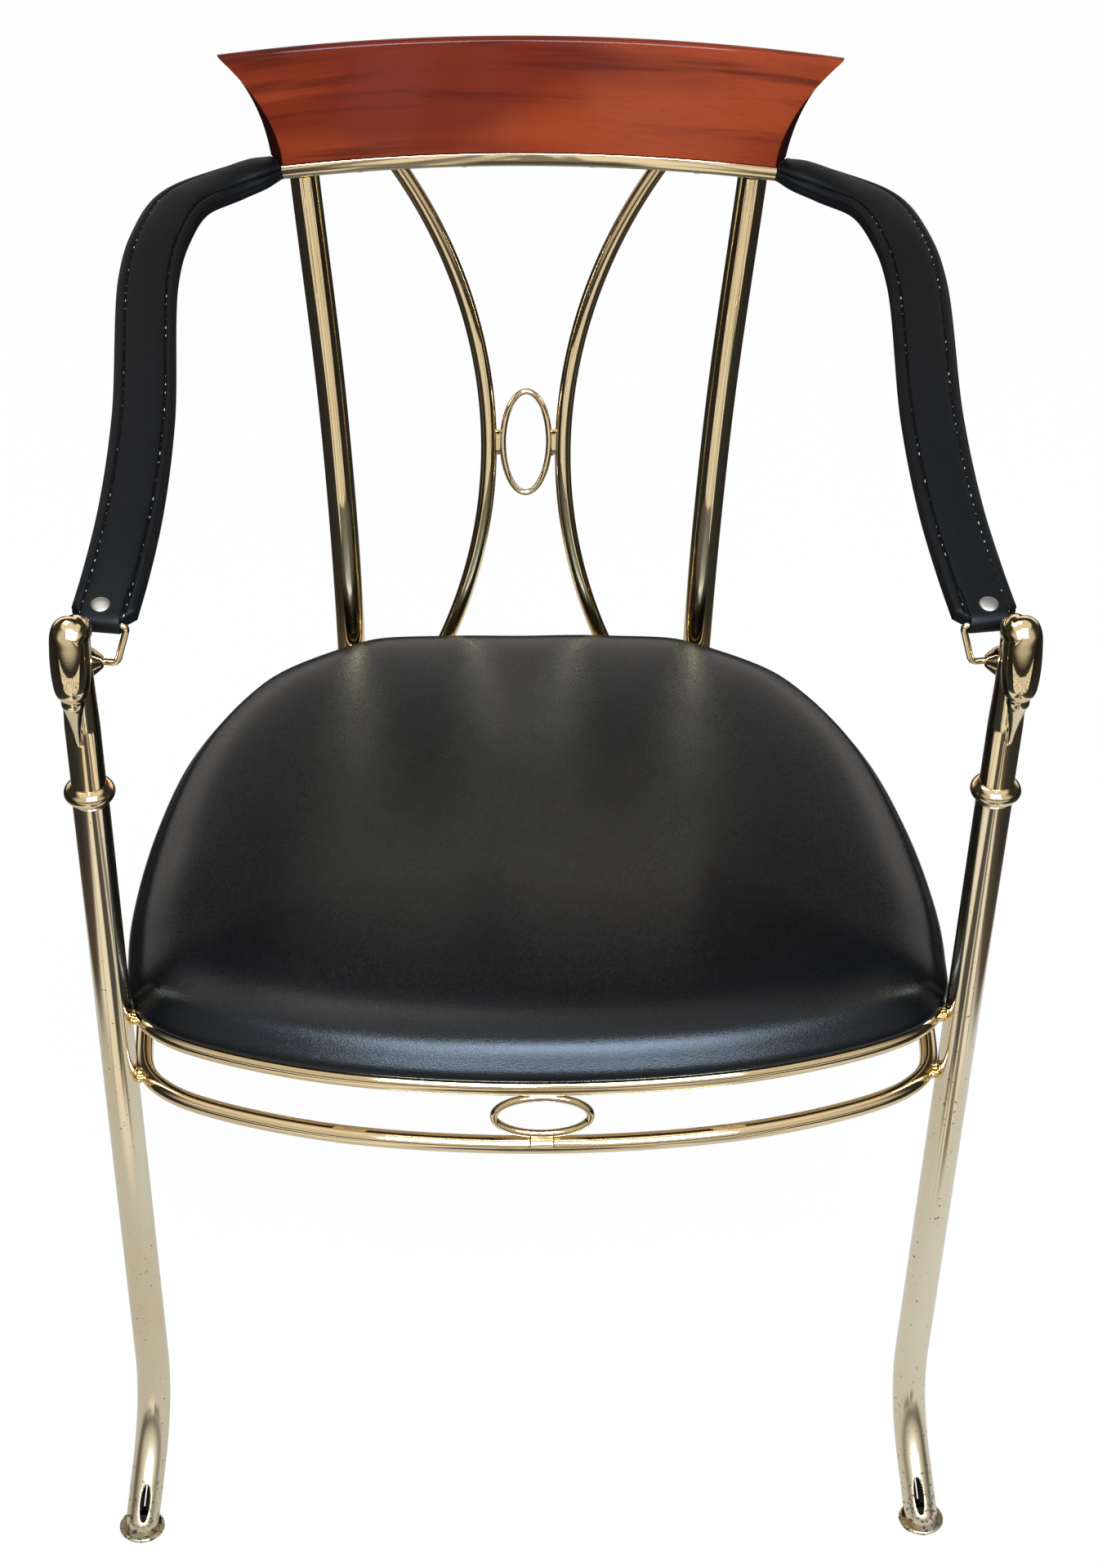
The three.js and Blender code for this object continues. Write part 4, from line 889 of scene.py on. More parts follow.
heights = np.linspace(BOW_FOOT, BOW_TOP, 400)
points, tangents = even_steps(np.stack([bow_x(heights), bow_y(heights), heights], axis=1), 110)
bow_points, bow_faces = round_tube(points, tangents, X, BOW_ROD, 40, level_ends=True)
bow_mesh = mesh_from("right_bowed_rod_round", bow_points, bow_faces)
pair("bowed_rod_round", bow_mesh, brass, "bowed_rod")
print("bowed rod:", len(bow_mesh.polygons), "faces")

# %% [markdown]
# Two ovals of wire fill the gaps: one lies between the rings in front, one stands between the rods.

# %% Ovals of wire


def oval(name, centre, half_across, half_up, wire, stands_for):
    turns = np.arange(160) * 2 * math.pi / 160
    points = centre + np.cos(turns)[:, None] * half_across + np.sin(turns)[:, None] * half_up
    tangents = np.cos(turns)[:, None] * half_up - np.sin(turns)[:, None] * half_across
    tangents /= np.linalg.norm(tangents, axis=1)[:, None]
    side = np.cross(half_across, half_up)
    oval_points, oval_faces = round_tube(points, tangents, side, wire / 2, 28, looped=True)
    piece(name, mesh_from(name, oval_points, oval_faces), brass, stands_for)
    print(name + ":", len(oval_faces), "faces")


RING_GAP = UPPER_RING - LOWER_RING - 2 * ROD_RADIUS
FRONT_WIRE, BACK_WIRE, BACK_OVAL_HALF = 5.0, 4.5, 16.8
FRONT_OVAL_HALF = RING_GAP / 2 - 1 - 2 * FIT - FRONT_WIRE / 2
front_centre = np.array([0, -BOW_FRONT, (UPPER_RING + LOWER_RING) / 2])
front_up = Z * (FRONT_OVAL_HALF + 0.9)
oval("front_oval_wire", front_centre, X * 30.4, front_up, FRONT_WIRE, ["front_oval_ring"])
bow_lean = unit([0, BOW_TOP_Y - BOW_FOOT_Y, BOW_TOP - UPPER_RING])
back_centre = np.array([0, bow_y(558.0), 558.0])
back_across, back_up = X * BACK_OVAL_HALF, bow_lean * 38.6
oval("back_oval_wire", back_centre, back_across, back_up, BACK_WIRE, ["back_oval_ring"])

# %% [markdown]
# ## Small brazed plates
# The ovals are held by small plates with soft edges. A rounded block is a box whose points are
# pushed out along a rounded shape. Front plates lie like saddles on the two rings.

# %% Rounded blocks


def soft_block(half_sizes, rounding, steps=6):
    """A block with round edges, made from a grid on each side of a cube."""
    bm = bmesh.new()
    bmesh.ops.create_cube(bm, size=2.0)
    bmesh.ops.subdivide_edges(bm, edges=bm.edges, cuts=steps, use_grid_fill=True)
    core = np.array(half_sizes, float) - rounding
    points = []
    for v in bm.verts:
        p = np.array(v.co) * (core + rounding)
        inner = np.clip(p, -core, core)
        away = p - inner
        size = np.linalg.norm(away)
        points.append(inner + (away / size * rounding if size > 1e-6 else 0))
    faces = [tuple(v.index for v in f.verts) for f in bm.faces]
    bm.free()
    return np.array(points), faces


print("a rounded block has", len(soft_block((4, 2, 9), 0.9)[1]), "faces")

# %% [markdown]
# A saddle follows the round of its ring and thins out at its two ends.

# %% Plates beside the ovals
SADDLE_HALF = 7.9


def saddle(centre_y, height, above, name, solid, forward_turn):
    rings = []
    for x in np.linspace(-SADDLE_HALF, SADDLE_HALF, 25):
        squeeze = min(1, (SADDLE_HALF + 0.01 - abs(x)) / 0.8) ** 0.5
        row = []
        for side, thick in ((1, 1.15 * squeeze), (-1, -0.1)):
            for t in np.linspace(-0.75, forward_turn, 17)[:: side]:
                r = ROD_RADIUS + thick
                row.append((x, centre_y - r * math.sin(t), height + above * r * math.cos(t)))
        rings.append(row)
    saddle_points, saddle_faces = skin(rings)
    piece(name, mesh_from(name, saddle_points, saddle_faces, 50), brass, [solid])


saddle(-BOW_FRONT, UPPER_RING, -1, "front_upper_plate", "front_upper_link", 0.75)
saddle(-BOW_FRONT, LOWER_RING, 1, "front_lower_plate", "front_lower_link", 1.15)
plate_from, plate_to = BACK_OVAL_HALF + BACK_WIRE / 2, BOW_GAP - BOW_ROD
block_points, block_faces = soft_block(((plate_to - plate_from) / 2 + 0.9, 2.3, 9), 0.9)
turn = Matrix.Rotation(-math.atan2(bow_lean[1], bow_lean[2]), 3, "X")
block_points = np.array([turn @ Vector(p) for p in block_points])
plate_points = moved(block_points, back_centre + X * (plate_from + plate_to) / 2)
plate_mesh = mesh_from("right_back_plate", plate_points, block_faces)
pair("back_plate", plate_mesh, brass, "back_link")
print("back plate:", len(plate_mesh.polygons), "faces")

# %% [markdown]
# ## Strip and rail
# The strip and the rail share one bend. A board is a row of sections along that bend. The rail's
# ends flare out into horns, and they are cut square to the bend, so the back of the rail is wider
# than its face. So each section point has its own half width at its own height and depth.

# %% A bent board, and the strip


def bent_board(section, half_width_at, steps=90):
    """A row of sections (height, depth) along the bend of the rail."""
    rings = []
    for share in np.linspace(-1, 1, steps + 1):
        ring = []
        for height, depth in section:
            x = share * half_width_at(height, depth)
            ring.append((x, rail_face_y(x) + depth, height))
        rings.append(ring)
    return skin(rings)


def eased(corners, radius, steps=4):
    """A section whose corners are rounded."""
    rounded = []
    for i, p in enumerate(corners):
        p = np.array(p, float)
        before, after = (np.array(corners[k % len(corners)], float) for k in (i - 1, i + 1))
        a, b = p + unit(before - p) * radius, p + unit(after - p) * radius
        for w in np.linspace(0, 1, steps + 1):
            rounded.append((1 - w) ** 2 * a + 2 * w * (1 - w) * p + w * w * b)
    return rounded


STRIP_TOP = STRIP_BOTTOM + STRIP_HEIGHT
RAIL_HALF_WIDTH, STRIP_HALF_WIDTH = 174.0, 171.8
strip_ends = [(STRIP_BOTTOM, 0), (STRIP_TOP, 0)]
strip_ends += [(STRIP_TOP, STRIP_DEPTH), (STRIP_BOTTOM, STRIP_DEPTH)]
strip_points, strip_faces = bent_board(eased(strip_ends, 1.2), lambda height, depth: STRIP_HALF_WIDTH)
piece("strip_bar", mesh_from("strip_bar", strip_points, strip_faces, 30), brass, ["back_strip"])
print("strip:", len(strip_faces), "faces")

# %% [markdown]
# The rail's section is straight in front, round at the crest and thinner there than at its foot.
# Its end faces are cut into narrow four-sided faces, so that they can bend with the board.

# %% The rail
RAIL_BOTTOM = STRIP_TOP + FIT
RAIL_HEIGHT, RAIL_DEPTH, CREST_DEPTH, CREST_ROUND = 84.0, 20.0, 8.5, 2.6
FACE_HALF_WIDTH, FACE_FLARE, FLARE_POWER = 170.6, 41, 1.75
RAIL_TOP = RAIL_BOTTOM + RAIL_HEIGHT


def rail_depth(height):
    return RAIL_DEPTH + (CREST_DEPTH - RAIL_DEPTH) * (height - RAIL_BOTTOM) / RAIL_HEIGHT


def rail_half_width(height, depth):
    rise = max(0, (height - RAIL_BOTTOM) / RAIL_HEIGHT)
    face = FACE_HALF_WIDTH + FACE_FLARE * rise**FLARE_POWER
    back = 179.5 + 33.5 * (0.35 * rise + 0.65 * rise**2.4)
    return face + (back - face) * min(1, max(0, depth / rail_depth(height)))


def crest(turn, way, depth):
    """A place on the rounded crest, in front (-1) or behind (1)."""
    up, out = (math.sin(turn), -math.cos(turn)) if way < 0 else (math.cos(turn), math.sin(turn))
    return RAIL_TOP - CREST_ROUND + CREST_ROUND * up, depth + CREST_ROUND * out


rises = np.linspace(RAIL_BOTTOM + 0.8, RAIL_TOP - CREST_ROUND, 30)
rail_section = [(RAIL_BOTTOM, 0.8)] + [(h, 0) for h in rises]
rail_section += [crest(t, -1, CREST_ROUND) for t in np.linspace(0.3, math.pi / 2, 6)]
rail_section += [crest(t, 1, CREST_DEPTH - CREST_ROUND) for t in np.linspace(0, math.pi / 2, 7)]
rail_section += [(h, rail_depth(h)) for h in rises[::-1]] + [(RAIL_BOTTOM, RAIL_DEPTH - 0.8)]
rail_points, rail_faces = bent_board(rail_section, rail_half_width)
sides = len(rail_section)
rail_ends = [(k, k + 1, sides - 2 - k, sides - 1 - k) for k in range(sides // 2 - 1)]
rail_ends.append(tuple(range(sides // 2 - 1, (sides + 3) // 2)))
last = len(rail_points) - sides
rail_faces = rail_faces[:-2] + rail_ends + [tuple(last + k for k in end) for end in rail_ends]
rail_mesh = mesh_from("rail_tablet", rail_points, rail_faces, 30)
rail = piece("rail_tablet", rail_mesh, mahogany, ["top_rail"])
soft_edge = rail.modifiers.new("soft edges", "BEVEL")
soft_edge.width, soft_edge.segments = 0.0009, 3
soft_edge.limit_method, soft_edge.angle_limit = "ANGLE", math.radians(40)
finished(rail)
print("rail:", len(rail.data.polygons), "faces")

# %% [markdown]
# Where the rail is cut square, its end faces are nearly black: partly end grain that drinks the
# varnish, partly painted shade on the end faces. The nodes follow the edge of the rail's face, and
# darken what lies outside it.

# %% End grain and painted shade
tree, shader = mahogany.node_tree, mahogany.node_tree.nodes["Principled BSDF"]
spot = add_node(tree, "ShaderNodeSeparateXYZ", i0=place_on(tree)).outputs
above = maths(tree, "SUBTRACT", spot["Z"], RAIL_BOTTOM / 1000)
rise = maths(tree, "DIVIDE", above, RAIL_HEIGHT / 1000, clamp=True)
flare = times(tree, maths(tree, "POWER", rise, FLARE_POWER), FACE_FLARE / 1000)
face_edge = plus(tree, flare, FACE_HALF_WIDTH / 1000)
outside = maths(tree, "SUBTRACT", maths(tree, "ABSOLUTE", spot["X"]), face_edge)
# The end faces darken to nearly black: end grain, and painted shade.
end_grain_and_shade = ramp(tree, outside, 0.0004, 0.0012)
feed(tree, shader.inputs["Base Color"], mix_colour(tree, end_grain_and_shade, wood, (0.02, 0.004, 0.003, 1)))
print("mahogany with end grain:", len(tree.nodes), "nodes")

# %% [markdown]
# ## Arms
# Each arm is a flat steel strap in a leather sleeve, with a padded leather strip sewn on top. At
# the rail the padding rolls up full and hides the sleeve. Towards the front it lies flatter and
# the sleeve shows as a border on both sides. The arm's path goes through nine points.

# %% The arm's path
ARM_WIDTH, ARM_THICKNESS, ARM_ROOT_WIDTH, PANEL_WIDTH, CORNER_CLIP = 39.8, 9.5, 31.0, 25.5, 7.0
RAIL_END = math.asin(RAIL_HALF_WIDTH / RAIL_RADIUS)
end_along = np.array([math.cos(RAIL_END), -math.sin(RAIL_END), 0])
root_y = rail_face_y(RAIL_HALF_WIDTH) + STRIP_DEPTH / 2
ARM_ROOT = np.array([RAIL_HALF_WIDTH, root_y, STRIP_BOTTOM + STRIP_HEIGHT / 2])
ARM_START = ARM_ROOT + FIT * end_along
ELBOW, WAIST = np.array([255.5, 352.0, 748.0]), np.array([250.0, 205.0, 724.0])
TIP = np.array([263.7, 23.0, 687.0])
rear_shares = ((0.44, 0.136, 0.28), (0.772, 0.34, 0.3), (0.936, 0.663, 0.54))
arm_route = [ARM_START] + [between(ARM_START, ELBOW, s) for s in rear_shares] + [ELBOW, WAIST]
arm_route += [between(WAIST, TIP, s) for s in ((0.168, 0.467, 0.432), (0.562, 0.786, 0.73))]
arm_curve = smooth_curve(arm_route + [TIP])
ARM_LENGTH = np.linalg.norm(np.diff(arm_curve, axis=0), axis=1).sum()
ARM_STEPS = 600
arm_points, arm_tangents = even_steps(arm_curve, ARM_STEPS)


def arm_frame(share):
    """The place on the arm's path, and the ways along, across and over the arm there."""
    place = min(max(share, 0), 1) * ARM_STEPS
    i = min(int(place), ARM_STEPS - 1)
    w = place - i
    point = arm_points[i] * (1 - w) + arm_points[i + 1] * w
    tangent = unit(arm_tangents[i] * (1 - w) + arm_tangents[i + 1] * w)
    across = unit(np.cross(tangent, Z))
    return point, tangent, across, unit(np.cross(across, tangent))


def arm_point(share, sideways, lift):
    point, tangent, across, over = arm_frame(share)
    return point + sideways * across + lift * over


def sleeve_width(share):
    return ARM_ROOT_WIDTH + (ARM_WIDTH - ARM_ROOT_WIDTH) * math.sin(min(1, share / 0.12) * math.pi / 2)


def root_squeeze(share):
    """The arm's end at the rail is drawn together like the end of a roll."""
    return 1 - 0.26 * math.exp(-((share / 0.022) ** 2))


def behind_tip(length):
    return 1 - length / ARM_LENGTH


print("the arm is", round(ARM_LENGTH), "mm long")

# %% [markdown]
# A sleeve's section has a soft border on each side of the panel, a groove where the panel is sewn
# on, and a seam half way down its flat sides. It narrows at the clipped corners of the tip.

# %% Sleeves


def sleeve_section(half_width, half_thick, panel_half):
    """Points (sideways, lift) round the sleeve."""
    soft, firm = min(half_thick * 0.75, 3.4), 1.7
    flat = half_width - soft
    border, under = -panel_half - 2.4, -panel_half + 1.2
    top = np.concatenate([np.linspace(-flat, border, 6)[:-1], np.linspace(border, under, 13), [0]])
    top = np.concatenate([top, -top[:-1][::-1]])
    section = []
    for a in top:
        beside = (abs(a) - panel_half - 0.3) / 1.1
        groove = 0.9 * math.exp(-beside * beside)
        crown = 0.5 * math.cos(min(1, abs(abs(a) - (panel_half + flat) / 2) / 4) * math.pi / 2)
        section.append((a, half_thick - groove + (crown if abs(a) > panel_half else 0)))
    turns = np.linspace(math.pi / 2, 0, 9)[1:]
    side = [(flat + soft * math.cos(t), half_thick - soft + soft * math.sin(t)) for t in turns]
    for lift, dent in ((0.9, 0.0), (0.5, 0.18), (0.1, 0.42), (-0.3, 0.18), (-0.7, 0.0)):
        side.append((half_width - dent, lift))
    low_x, low_z = half_width - firm, firm - half_thick
    turns = np.linspace(0, -math.pi / 2, 7)
    side += [(low_x + firm * math.cos(t), low_z + firm * math.sin(t)) for t in turns]
    section += side
    section += [(a, -half_thick) for a in np.linspace(low_x, -low_x, 15)[1:-1]]
    section += [(-a, b) for a, b in side[::-1]]
    return section


def panel_half_width(share):
    fullness = 0.64 + 0.26 * math.exp(-((share / 0.07) ** 2))
    return min(PANEL_WIDTH, sleeve_width(share) * fullness) / 2


def sleeve_rings():
    rings = []
    clip = CORNER_CLIP / ARM_LENGTH
    corner = 1 - clip * (1 - np.linspace(0, 1, 9)[1:])
    for share in np.concatenate([np.linspace(0, 1 - clip, 230), corner]):
        half = sleeve_width(share) / 2
        into = max(0, (share - 1 + clip) / clip)
        half -= CORNER_CLIP * into
        section = sleeve_section(half, ARM_THICKNESS / 2, min(panel_half_width(share), half - 4.2))
        q = root_squeeze(share)
        ring = np.array([arm_point(share, a * q, b * q) for a, b in section])
        if share == 0:
            ring = flush(ring, arm_frame(0)[1], ARM_START[0] + 1.2, 0)
            end = ring - X * (ARM_START[0] - STRIP_HALF_WIDTH + 0.8)
            centre = end.mean(axis=0)
            rings.append(centre + (end - centre) * 0.86)
        rings.append(ring)
    return rings


sleeve_points, sleeve_faces = skin(sleeve_rings())
sleeve_mesh = mesh_from("right_arm_sleeve_leather", sleeve_points, sleeve_faces, 60)
pair("arm_sleeve_leather", sleeve_mesh, arm_leather, "arm_sleeve")
print("sleeve:", len(sleeve_mesh.polygons), "faces")

# %% [markdown]
# The panel is a low dome of padding between the sleeve's two grooves. It stands highest where the
# arm leaves the rail.

# %% Padded panels
PANEL_FROM, PANEL_TO = 0.004, behind_tip(22.0 + FIT)


def panel_dome(share):
    return 2.3 + 3.6 * math.exp(-((share / 0.12) ** 2))


panel_rings = []
base = ARM_THICKNESS / 2 - 0.5
turns = np.linspace(-math.pi / 2, math.pi / 2, 31)
for share in np.linspace(PANEL_FROM, PANEL_TO, 220):
    half, dome = panel_half_width(share), panel_dome(share)
    section = [(half * math.sin(t), base + dome * abs(math.cos(t)) ** 0.62) for t in turns]
    section += [(half * s, base - 0.3) for s in np.linspace(0.96, -0.96, 9)]
    q = root_squeeze(share)
    panel_rings.append([arm_point(share, a * q, b * q) for a, b in section])
panel_points, panel_faces = skin(panel_rings)
panel_mesh = mesh_from("right_arm_panel_padding", panel_points, panel_faces, 60)
for panel in pair("arm_panel_padding", panel_mesh, arm_leather, "arm_panel"):
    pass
print("panel:", len(panel_mesh.polygons), "faces")

# %% [markdown]
# ## The front end of an arm
# The panel ends in a plain tab that folds round the link's bar. A nickel rivet goes through it.

# %% Tabs
TAB_HALF, TAB_THICK, TAB_TOP, TAB_UNDER = 12.0, 2.0, 22.0, 26.0
tab_inner = ARM_THICKNESS / 2 + FIT
tab_outer = tab_inner + TAB_THICK


def tab_outline(inset):
    """The tab from the side (ahead, lift), thinner by an inset all round."""
    outer, inner = tab_outer - inset, tab_inner + inset
    line = [(-TAB_TOP + inset - 0.1, outer)] + [(-x, outer) for x in np.linspace(18, 2, 8)]
    line += [(outer * math.cos(t), outer * math.sin(t)) for t in np.linspace(math.pi / 2, -math.pi / 2, 29)]
    line += [(-x, -outer) for x in np.linspace(2, 22, 8)] + [(-TAB_UNDER + inset, -outer)]
    line += [(-TAB_UNDER + inset, -inner)] + [(-x, -inner) for x in np.linspace(22, 2, 8)]
    line += [(inner * math.cos(t), inner * math.sin(t)) for t in np.linspace(-math.pi / 2, math.pi / 2, 29)]
    return line + [(-x, inner) for x in np.linspace(2, 18, 8)] + [(-TAB_TOP + inset - 0.1, inner)]


def tab_place(ahead, lift, sideways):
    point, tangent, across, over = arm_frame(behind_tip(max(0, -ahead)))
    return point + tangent * max(0, ahead) + over * lift + across * sideways


rows = [(-1, 0.7), (-0.985, 0.35), (-0.96, 0.12), (-0.93, 0.02), (-0.6, 0), (-0.2, 0)]
rows += [(-s, inset) for s, inset in rows[::-1]]
tab_rings = [[tab_place(a, b, s * TAB_HALF) for a, b in tab_outline(inset)] for s, inset in rows]
tab_points, tab_faces = skin(tab_rings)
tab_mesh = mesh_from("right_arm_tab_leather", tab_points, tab_faces, 50)
pair("arm_tab_leather", tab_mesh, arm_leather, "arm_tab")
print("tab:", len(tab_mesh.polygons), "faces")

# %% [markdown]
# A rivet is turned: a small washer below, a shank through the tab, and a low dome on top.

# %% Rivets
RIVET_RADIUS, RIVET_DOME, RIVET_SHANK = 6.0, 2.2, 2.5
rivet_point, _, rivet_across, rivet_over = arm_frame(behind_tip(6.5))
rivet_point = rivet_point - rivet_across * 1.5
rivet_seat = tab_outer - 0.1
shoulder = rivet_seat + 0.3
rivet_profile = [(0, -rivet_seat - 1.3), (RIVET_RADIUS * 0.75, -rivet_seat - 1.2)]
rivet_profile += [(RIVET_RADIUS * 0.8, -rivet_seat - 0.5), (RIVET_SHANK, -rivet_seat)]
rivet_profile += [(RIVET_SHANK, rivet_seat), (RIVET_RADIUS, rivet_seat), (RIVET_RADIUS, shoulder)]
rivet_profile += [
    (RIVET_RADIUS * math.cos(t), shoulder + (RIVET_DOME - 0.6) * math.sin(t))
    for t in np.linspace(0.12, math.pi / 2, 14)
]
rivet_points, rivet_faces = turned(rivet_profile, 48)
square = np.cross(rivet_across, rivet_over)
rivet_points = rivet_point + rivet_points @ np.array([rivet_across, -square, rivet_over])
rivet_mesh = mesh_from("right_arm_rivet_head", rivet_points, rivet_faces, 50)
pair("arm_rivet_head", rivet_mesh, nickel, "arm_rivet")
print("rivet:", len(rivet_mesh.polygons), "faces")

# %% [markdown]
# A link is a closed loop of wire with four rounded corners. Its upper bar lies in the tab and its
# lower bar in the finial's eye, and it rides on the body that swings.

# %% Link rings
LINK_WIRE, LINK_TOP, LINK_BOTTOM, LINK_ROUND = 2.1, 15.8, 11.8, 3.8
_, tip_tangent, tip_across, _ = arm_frame(1.0)
EYE = leaning(finial_point(-17.5, 82, -11), TILT) + LEG_TOP
link_bar = TIP + tip_tangent * (tab_inner - LINK_WIRE - FIT)
corners = [link_bar + tip_across * LINK_TOP, link_bar - tip_across * LINK_TOP]
corners += [EYE - tip_across * LINK_BOTTOM, EYE + tip_across * LINK_BOTTOM]
link_path = eased(corners, LINK_ROUND, 15)
link_path.append(link_path[0])
points, tangents = even_steps(np.array(link_path), 150, closed=True)
link_side = np.cross(tip_across, EYE - link_bar)
link_points, link_faces = round_tube(points, tangents, link_side, LINK_WIRE, 28, looped=True)
link_mesh = mesh_from("right_link_wire", link_points, link_faces)
pair("link_wire", link_mesh, brass, "link_ring", ("right_link", "left_link"))
print("link:", len(link_mesh.polygons), "faces")

# %% [markdown]
# ## Seat cushion
# The cushion is foam on a board, under leather drawn tight. Its outline follows the upper ring and
# hangs over it in front and at the sides. A profile from the underside, round the edge and up to
# the crown is swept along that outline, which keeps the edge crisp and the columns even.

# %% The cushion's outline and profile
OVERHANG, BACK_SET_IN, TUCK = 7.0, 8.0, 6.0
CUSHION_BASE = UPPER_RING + ROD_RADIUS + FIT
SEAT_CENTRE = np.array([0, (RING_BACK_Y - BOW_FRONT) / 2, 0])
SEAT_REACH, COLUMNS = 230.0, 384
seat_path, seat_tangents = even_steps(ring_outline(UPPER_RING), COLUMNS, closed=True)
seat_outward = np.stack([seat_tangents[:, 1], -seat_tangents[:, 0], np.zeros(COLUMNS)], axis=1)
fade = np.clip((seat_path[:, 1] / RING_BACK_Y - 0.82) / 0.17, 0, 1)
seat_overhang = OVERHANG - (OVERHANG + BACK_SET_IN) * fade * fade * (3 - 2 * fade)


def seat_row(inset, inwards, lift):
    """One row of the cushion: set in from the rim, then drawn towards the middle of the seat."""
    row = seat_path + seat_outward * (seat_overhang - inset)[:, None]
    leg = np.sign(row[:, 0]) * leg_axis_x(CUSHION_BASE + lift)
    pressed = np.minimum(0, np.hypot(row[:, 0] - leg, row[:, 1]) - LEG_RADIUS - 1.5)
    for _ in range(3):
        pressed = (np.roll(pressed, 1) + 2 * pressed + np.roll(pressed, -1)) / 4
    row += seat_outward * pressed[:, None]
    row = SEAT_CENTRE + (row - SEAT_CENTRE) * (1 - inwards / SEAT_REACH)
    row[:, 2] = CUSHION_BASE + lift
    return row


edge = [(TUCK, 0, 0), (1.4, 0, 1.6), (0, 0, 4), (1.3, 0, 8.5), (4.3, 0, 13.8)]
edge += [(8.6, 0, 18.8), (14, 0, 22.8), (19, 2.5, 25.6)]
crown = ((14, 28.9), (31, 31.5), (62, 34.2), (105, 36.6), (155, 38.1), (205, 38.7), (228, 38.8))
profile, _ = even_steps(smooth_curve(edge + [(19, inwards, lift) for inwards, lift in crown]), 150)
profile = [(TUCK, w, 0) for w in (228, 160, 90, 40, 14, 4)] + [tuple(p) for p in profile[::2]]
cushion_points, cushion_faces = skin([seat_row(*p) for p in profile])
print("cushion:", len(profile), "rows of", COLUMNS)

# %% [markdown]
# A cloth simulation then tells how far foam would push the leather out at each place. It runs on
# an evenly remeshed copy that starts a little small. How far each of its points moves is capped
# and averaged over its neighbours.

# %% Swell the cushion
CUSHION_SHRINK, CUSHION_CAP, SWELL_FRAMES, NEAR = 0.0022, 0.005, 20, 16
cushion_mesh = mesh_from("seat_cushion_leather", cushion_points, cushion_faces, 70)
cushion = piece("seat_cushion_leather", cushion_mesh, seat_leather, ["seat_cushion"])
swelling = np.full(len(cushion.data.vertices), 0.001)
trial = bpy.data.objects.new("trial cushion", cushion.data.copy())
scene.collection.objects.link(trial)
remesh = trial.modifiers.new("even faces", "REMESH")
remesh.mode, remesh.voxel_size = "VOXEL", 0.005
finished(trial)
normal = np.array([v.normal for v in trial.data.vertices])
start = np.array([v.co for v in trial.data.vertices]) - normal * CUSHION_SHRINK
trial.data.vertices.foreach_set("co", start.ravel())
cloth = trial.modifiers.new("swell", "CLOTH")
cloth.settings.use_pressure = True
cloth.settings.uniform_pressure_force = 4.0
cloth.settings.effector_weights.gravity = 0.0
for step in range(1, SWELL_FRAMES + 1):
    scene.frame_set(step)
finished(trial)
scene.frame_set(1)
pushed = ((np.array([v.co for v in trial.data.vertices]) - start) * normal).sum(axis=1)
finder = KDTree(len(start))
for i, at in enumerate(start):
    finder.insert(at, i)
finder.balance()
pushed = np.clip(pushed, 0, CUSHION_CAP)
for i, v in enumerate(cushion.data.vertices):
    near = finder.find_n(v.co, NEAR)
    swelling[i] = sum(pushed[k] for _, k, _ in near) / NEAR - CUSHION_SHRINK
bpy.data.objects.remove(trial)
print("cushion: most swelling", round(float(swelling.max()) * 1000, 1), "mm")

# %% [markdown]
# The swelling is evened out along the rows and columns, fades to nothing at the foot of the edge,
# and is added to the fine mesh along its normals. In the middle of the seat the columns meet, and
# small steps would show as a dimple there, so that patch is levelled.

# %% Shape the cushion
EVENING_PASSES = 14
CALM_PATCH, LEVEL_PATCH = 0.03, 0.01
even = swelling[:len(profile) * COLUMNS].reshape(len(profile), COLUMNS)
for _ in range(EVENING_PASSES):
    even = (np.roll(even, 2, 1) + 2 * even + np.roll(even, -2, 1)) / 4
    even = (np.vstack([even[:1], even[:-1]]) + 2 * even + np.vstack([even[1:], even[-1:]])) / 4
swelling[:even.size] = even.ravel()
heights = np.array([v.co.z for v in cushion.data.vertices]) * 1000 - CUSHION_BASE
swelling *= np.clip((heights - 2) / 12, 0, 1)
normal = np.array([v.normal for v in cushion.data.vertices])
at = np.array([v.co for v in cushion.data.vertices])
from_middle = np.hypot(at[:, 0], at[:, 1] - metres(SEAT_CENTRE)[1])
top_middle = (from_middle < 2 * CALM_PATCH) & (heights > 20)
calm = np.clip((from_middle - CALM_PATCH) / CALM_PATCH, 0, 1)
swelling[top_middle] = (calm * swelling + (1 - calm) * swelling[top_middle].mean())[top_middle]
normal[top_middle] = Z
settled = at + normal * swelling[:, None]
level = np.clip((from_middle[top_middle] - LEVEL_PATCH) / CALM_PATCH, 0, 1)
settled[top_middle, 2] = level * settled[top_middle, 2] + (1 - level) * settled[top_middle, 2].max()
cushion.data.vertices.foreach_set("co", settled.ravel())
cushion.data.update()
print("cushion:", len(cushion.data.polygons), "faces")

# %% [markdown]
# Below, the leather is turned round the edge of the board and stapled. It is one strip, swept
# along the same outline.

# %% Leather turned under the board
BOARD_INSET, HEM_WIDTH = ROD_RADIUS + 1.5, 20.0
board_top, board_low = UPPER_RING + ROD_RADIUS, UPPER_RING - ROD_RADIUS
hem_outer, hem_inner = -BOARD_INSET - 0.1, -BOARD_INSET - HEM_WIDTH
hem_section = [(-BOARD_INSET + 0.9, board_top), (-BOARD_INSET + 0.9, board_low + 0.4)]
hem_section += [(-BOARD_INSET + 0.3, board_low - 0.2), (hem_inner, board_low - 0.2)]
hem_section += [(hem_inner, board_low - 0.02), (hem_outer, board_low - 0.02), (hem_outer, board_top)]
hem_rings = [
    [at + way * out + Z * (z - UPPER_RING) for out, z in hem_section]
    for at, way in zip(seat_path, seat_outward)
]
hem_points, hem_faces = skin(hem_rings, looped=True)
hem = piece("seat_leather_hem", mesh_from("seat_leather_hem", hem_points, hem_faces, 40), seat_leather)
print("hem:", len(hem.data.polygons), "faces")

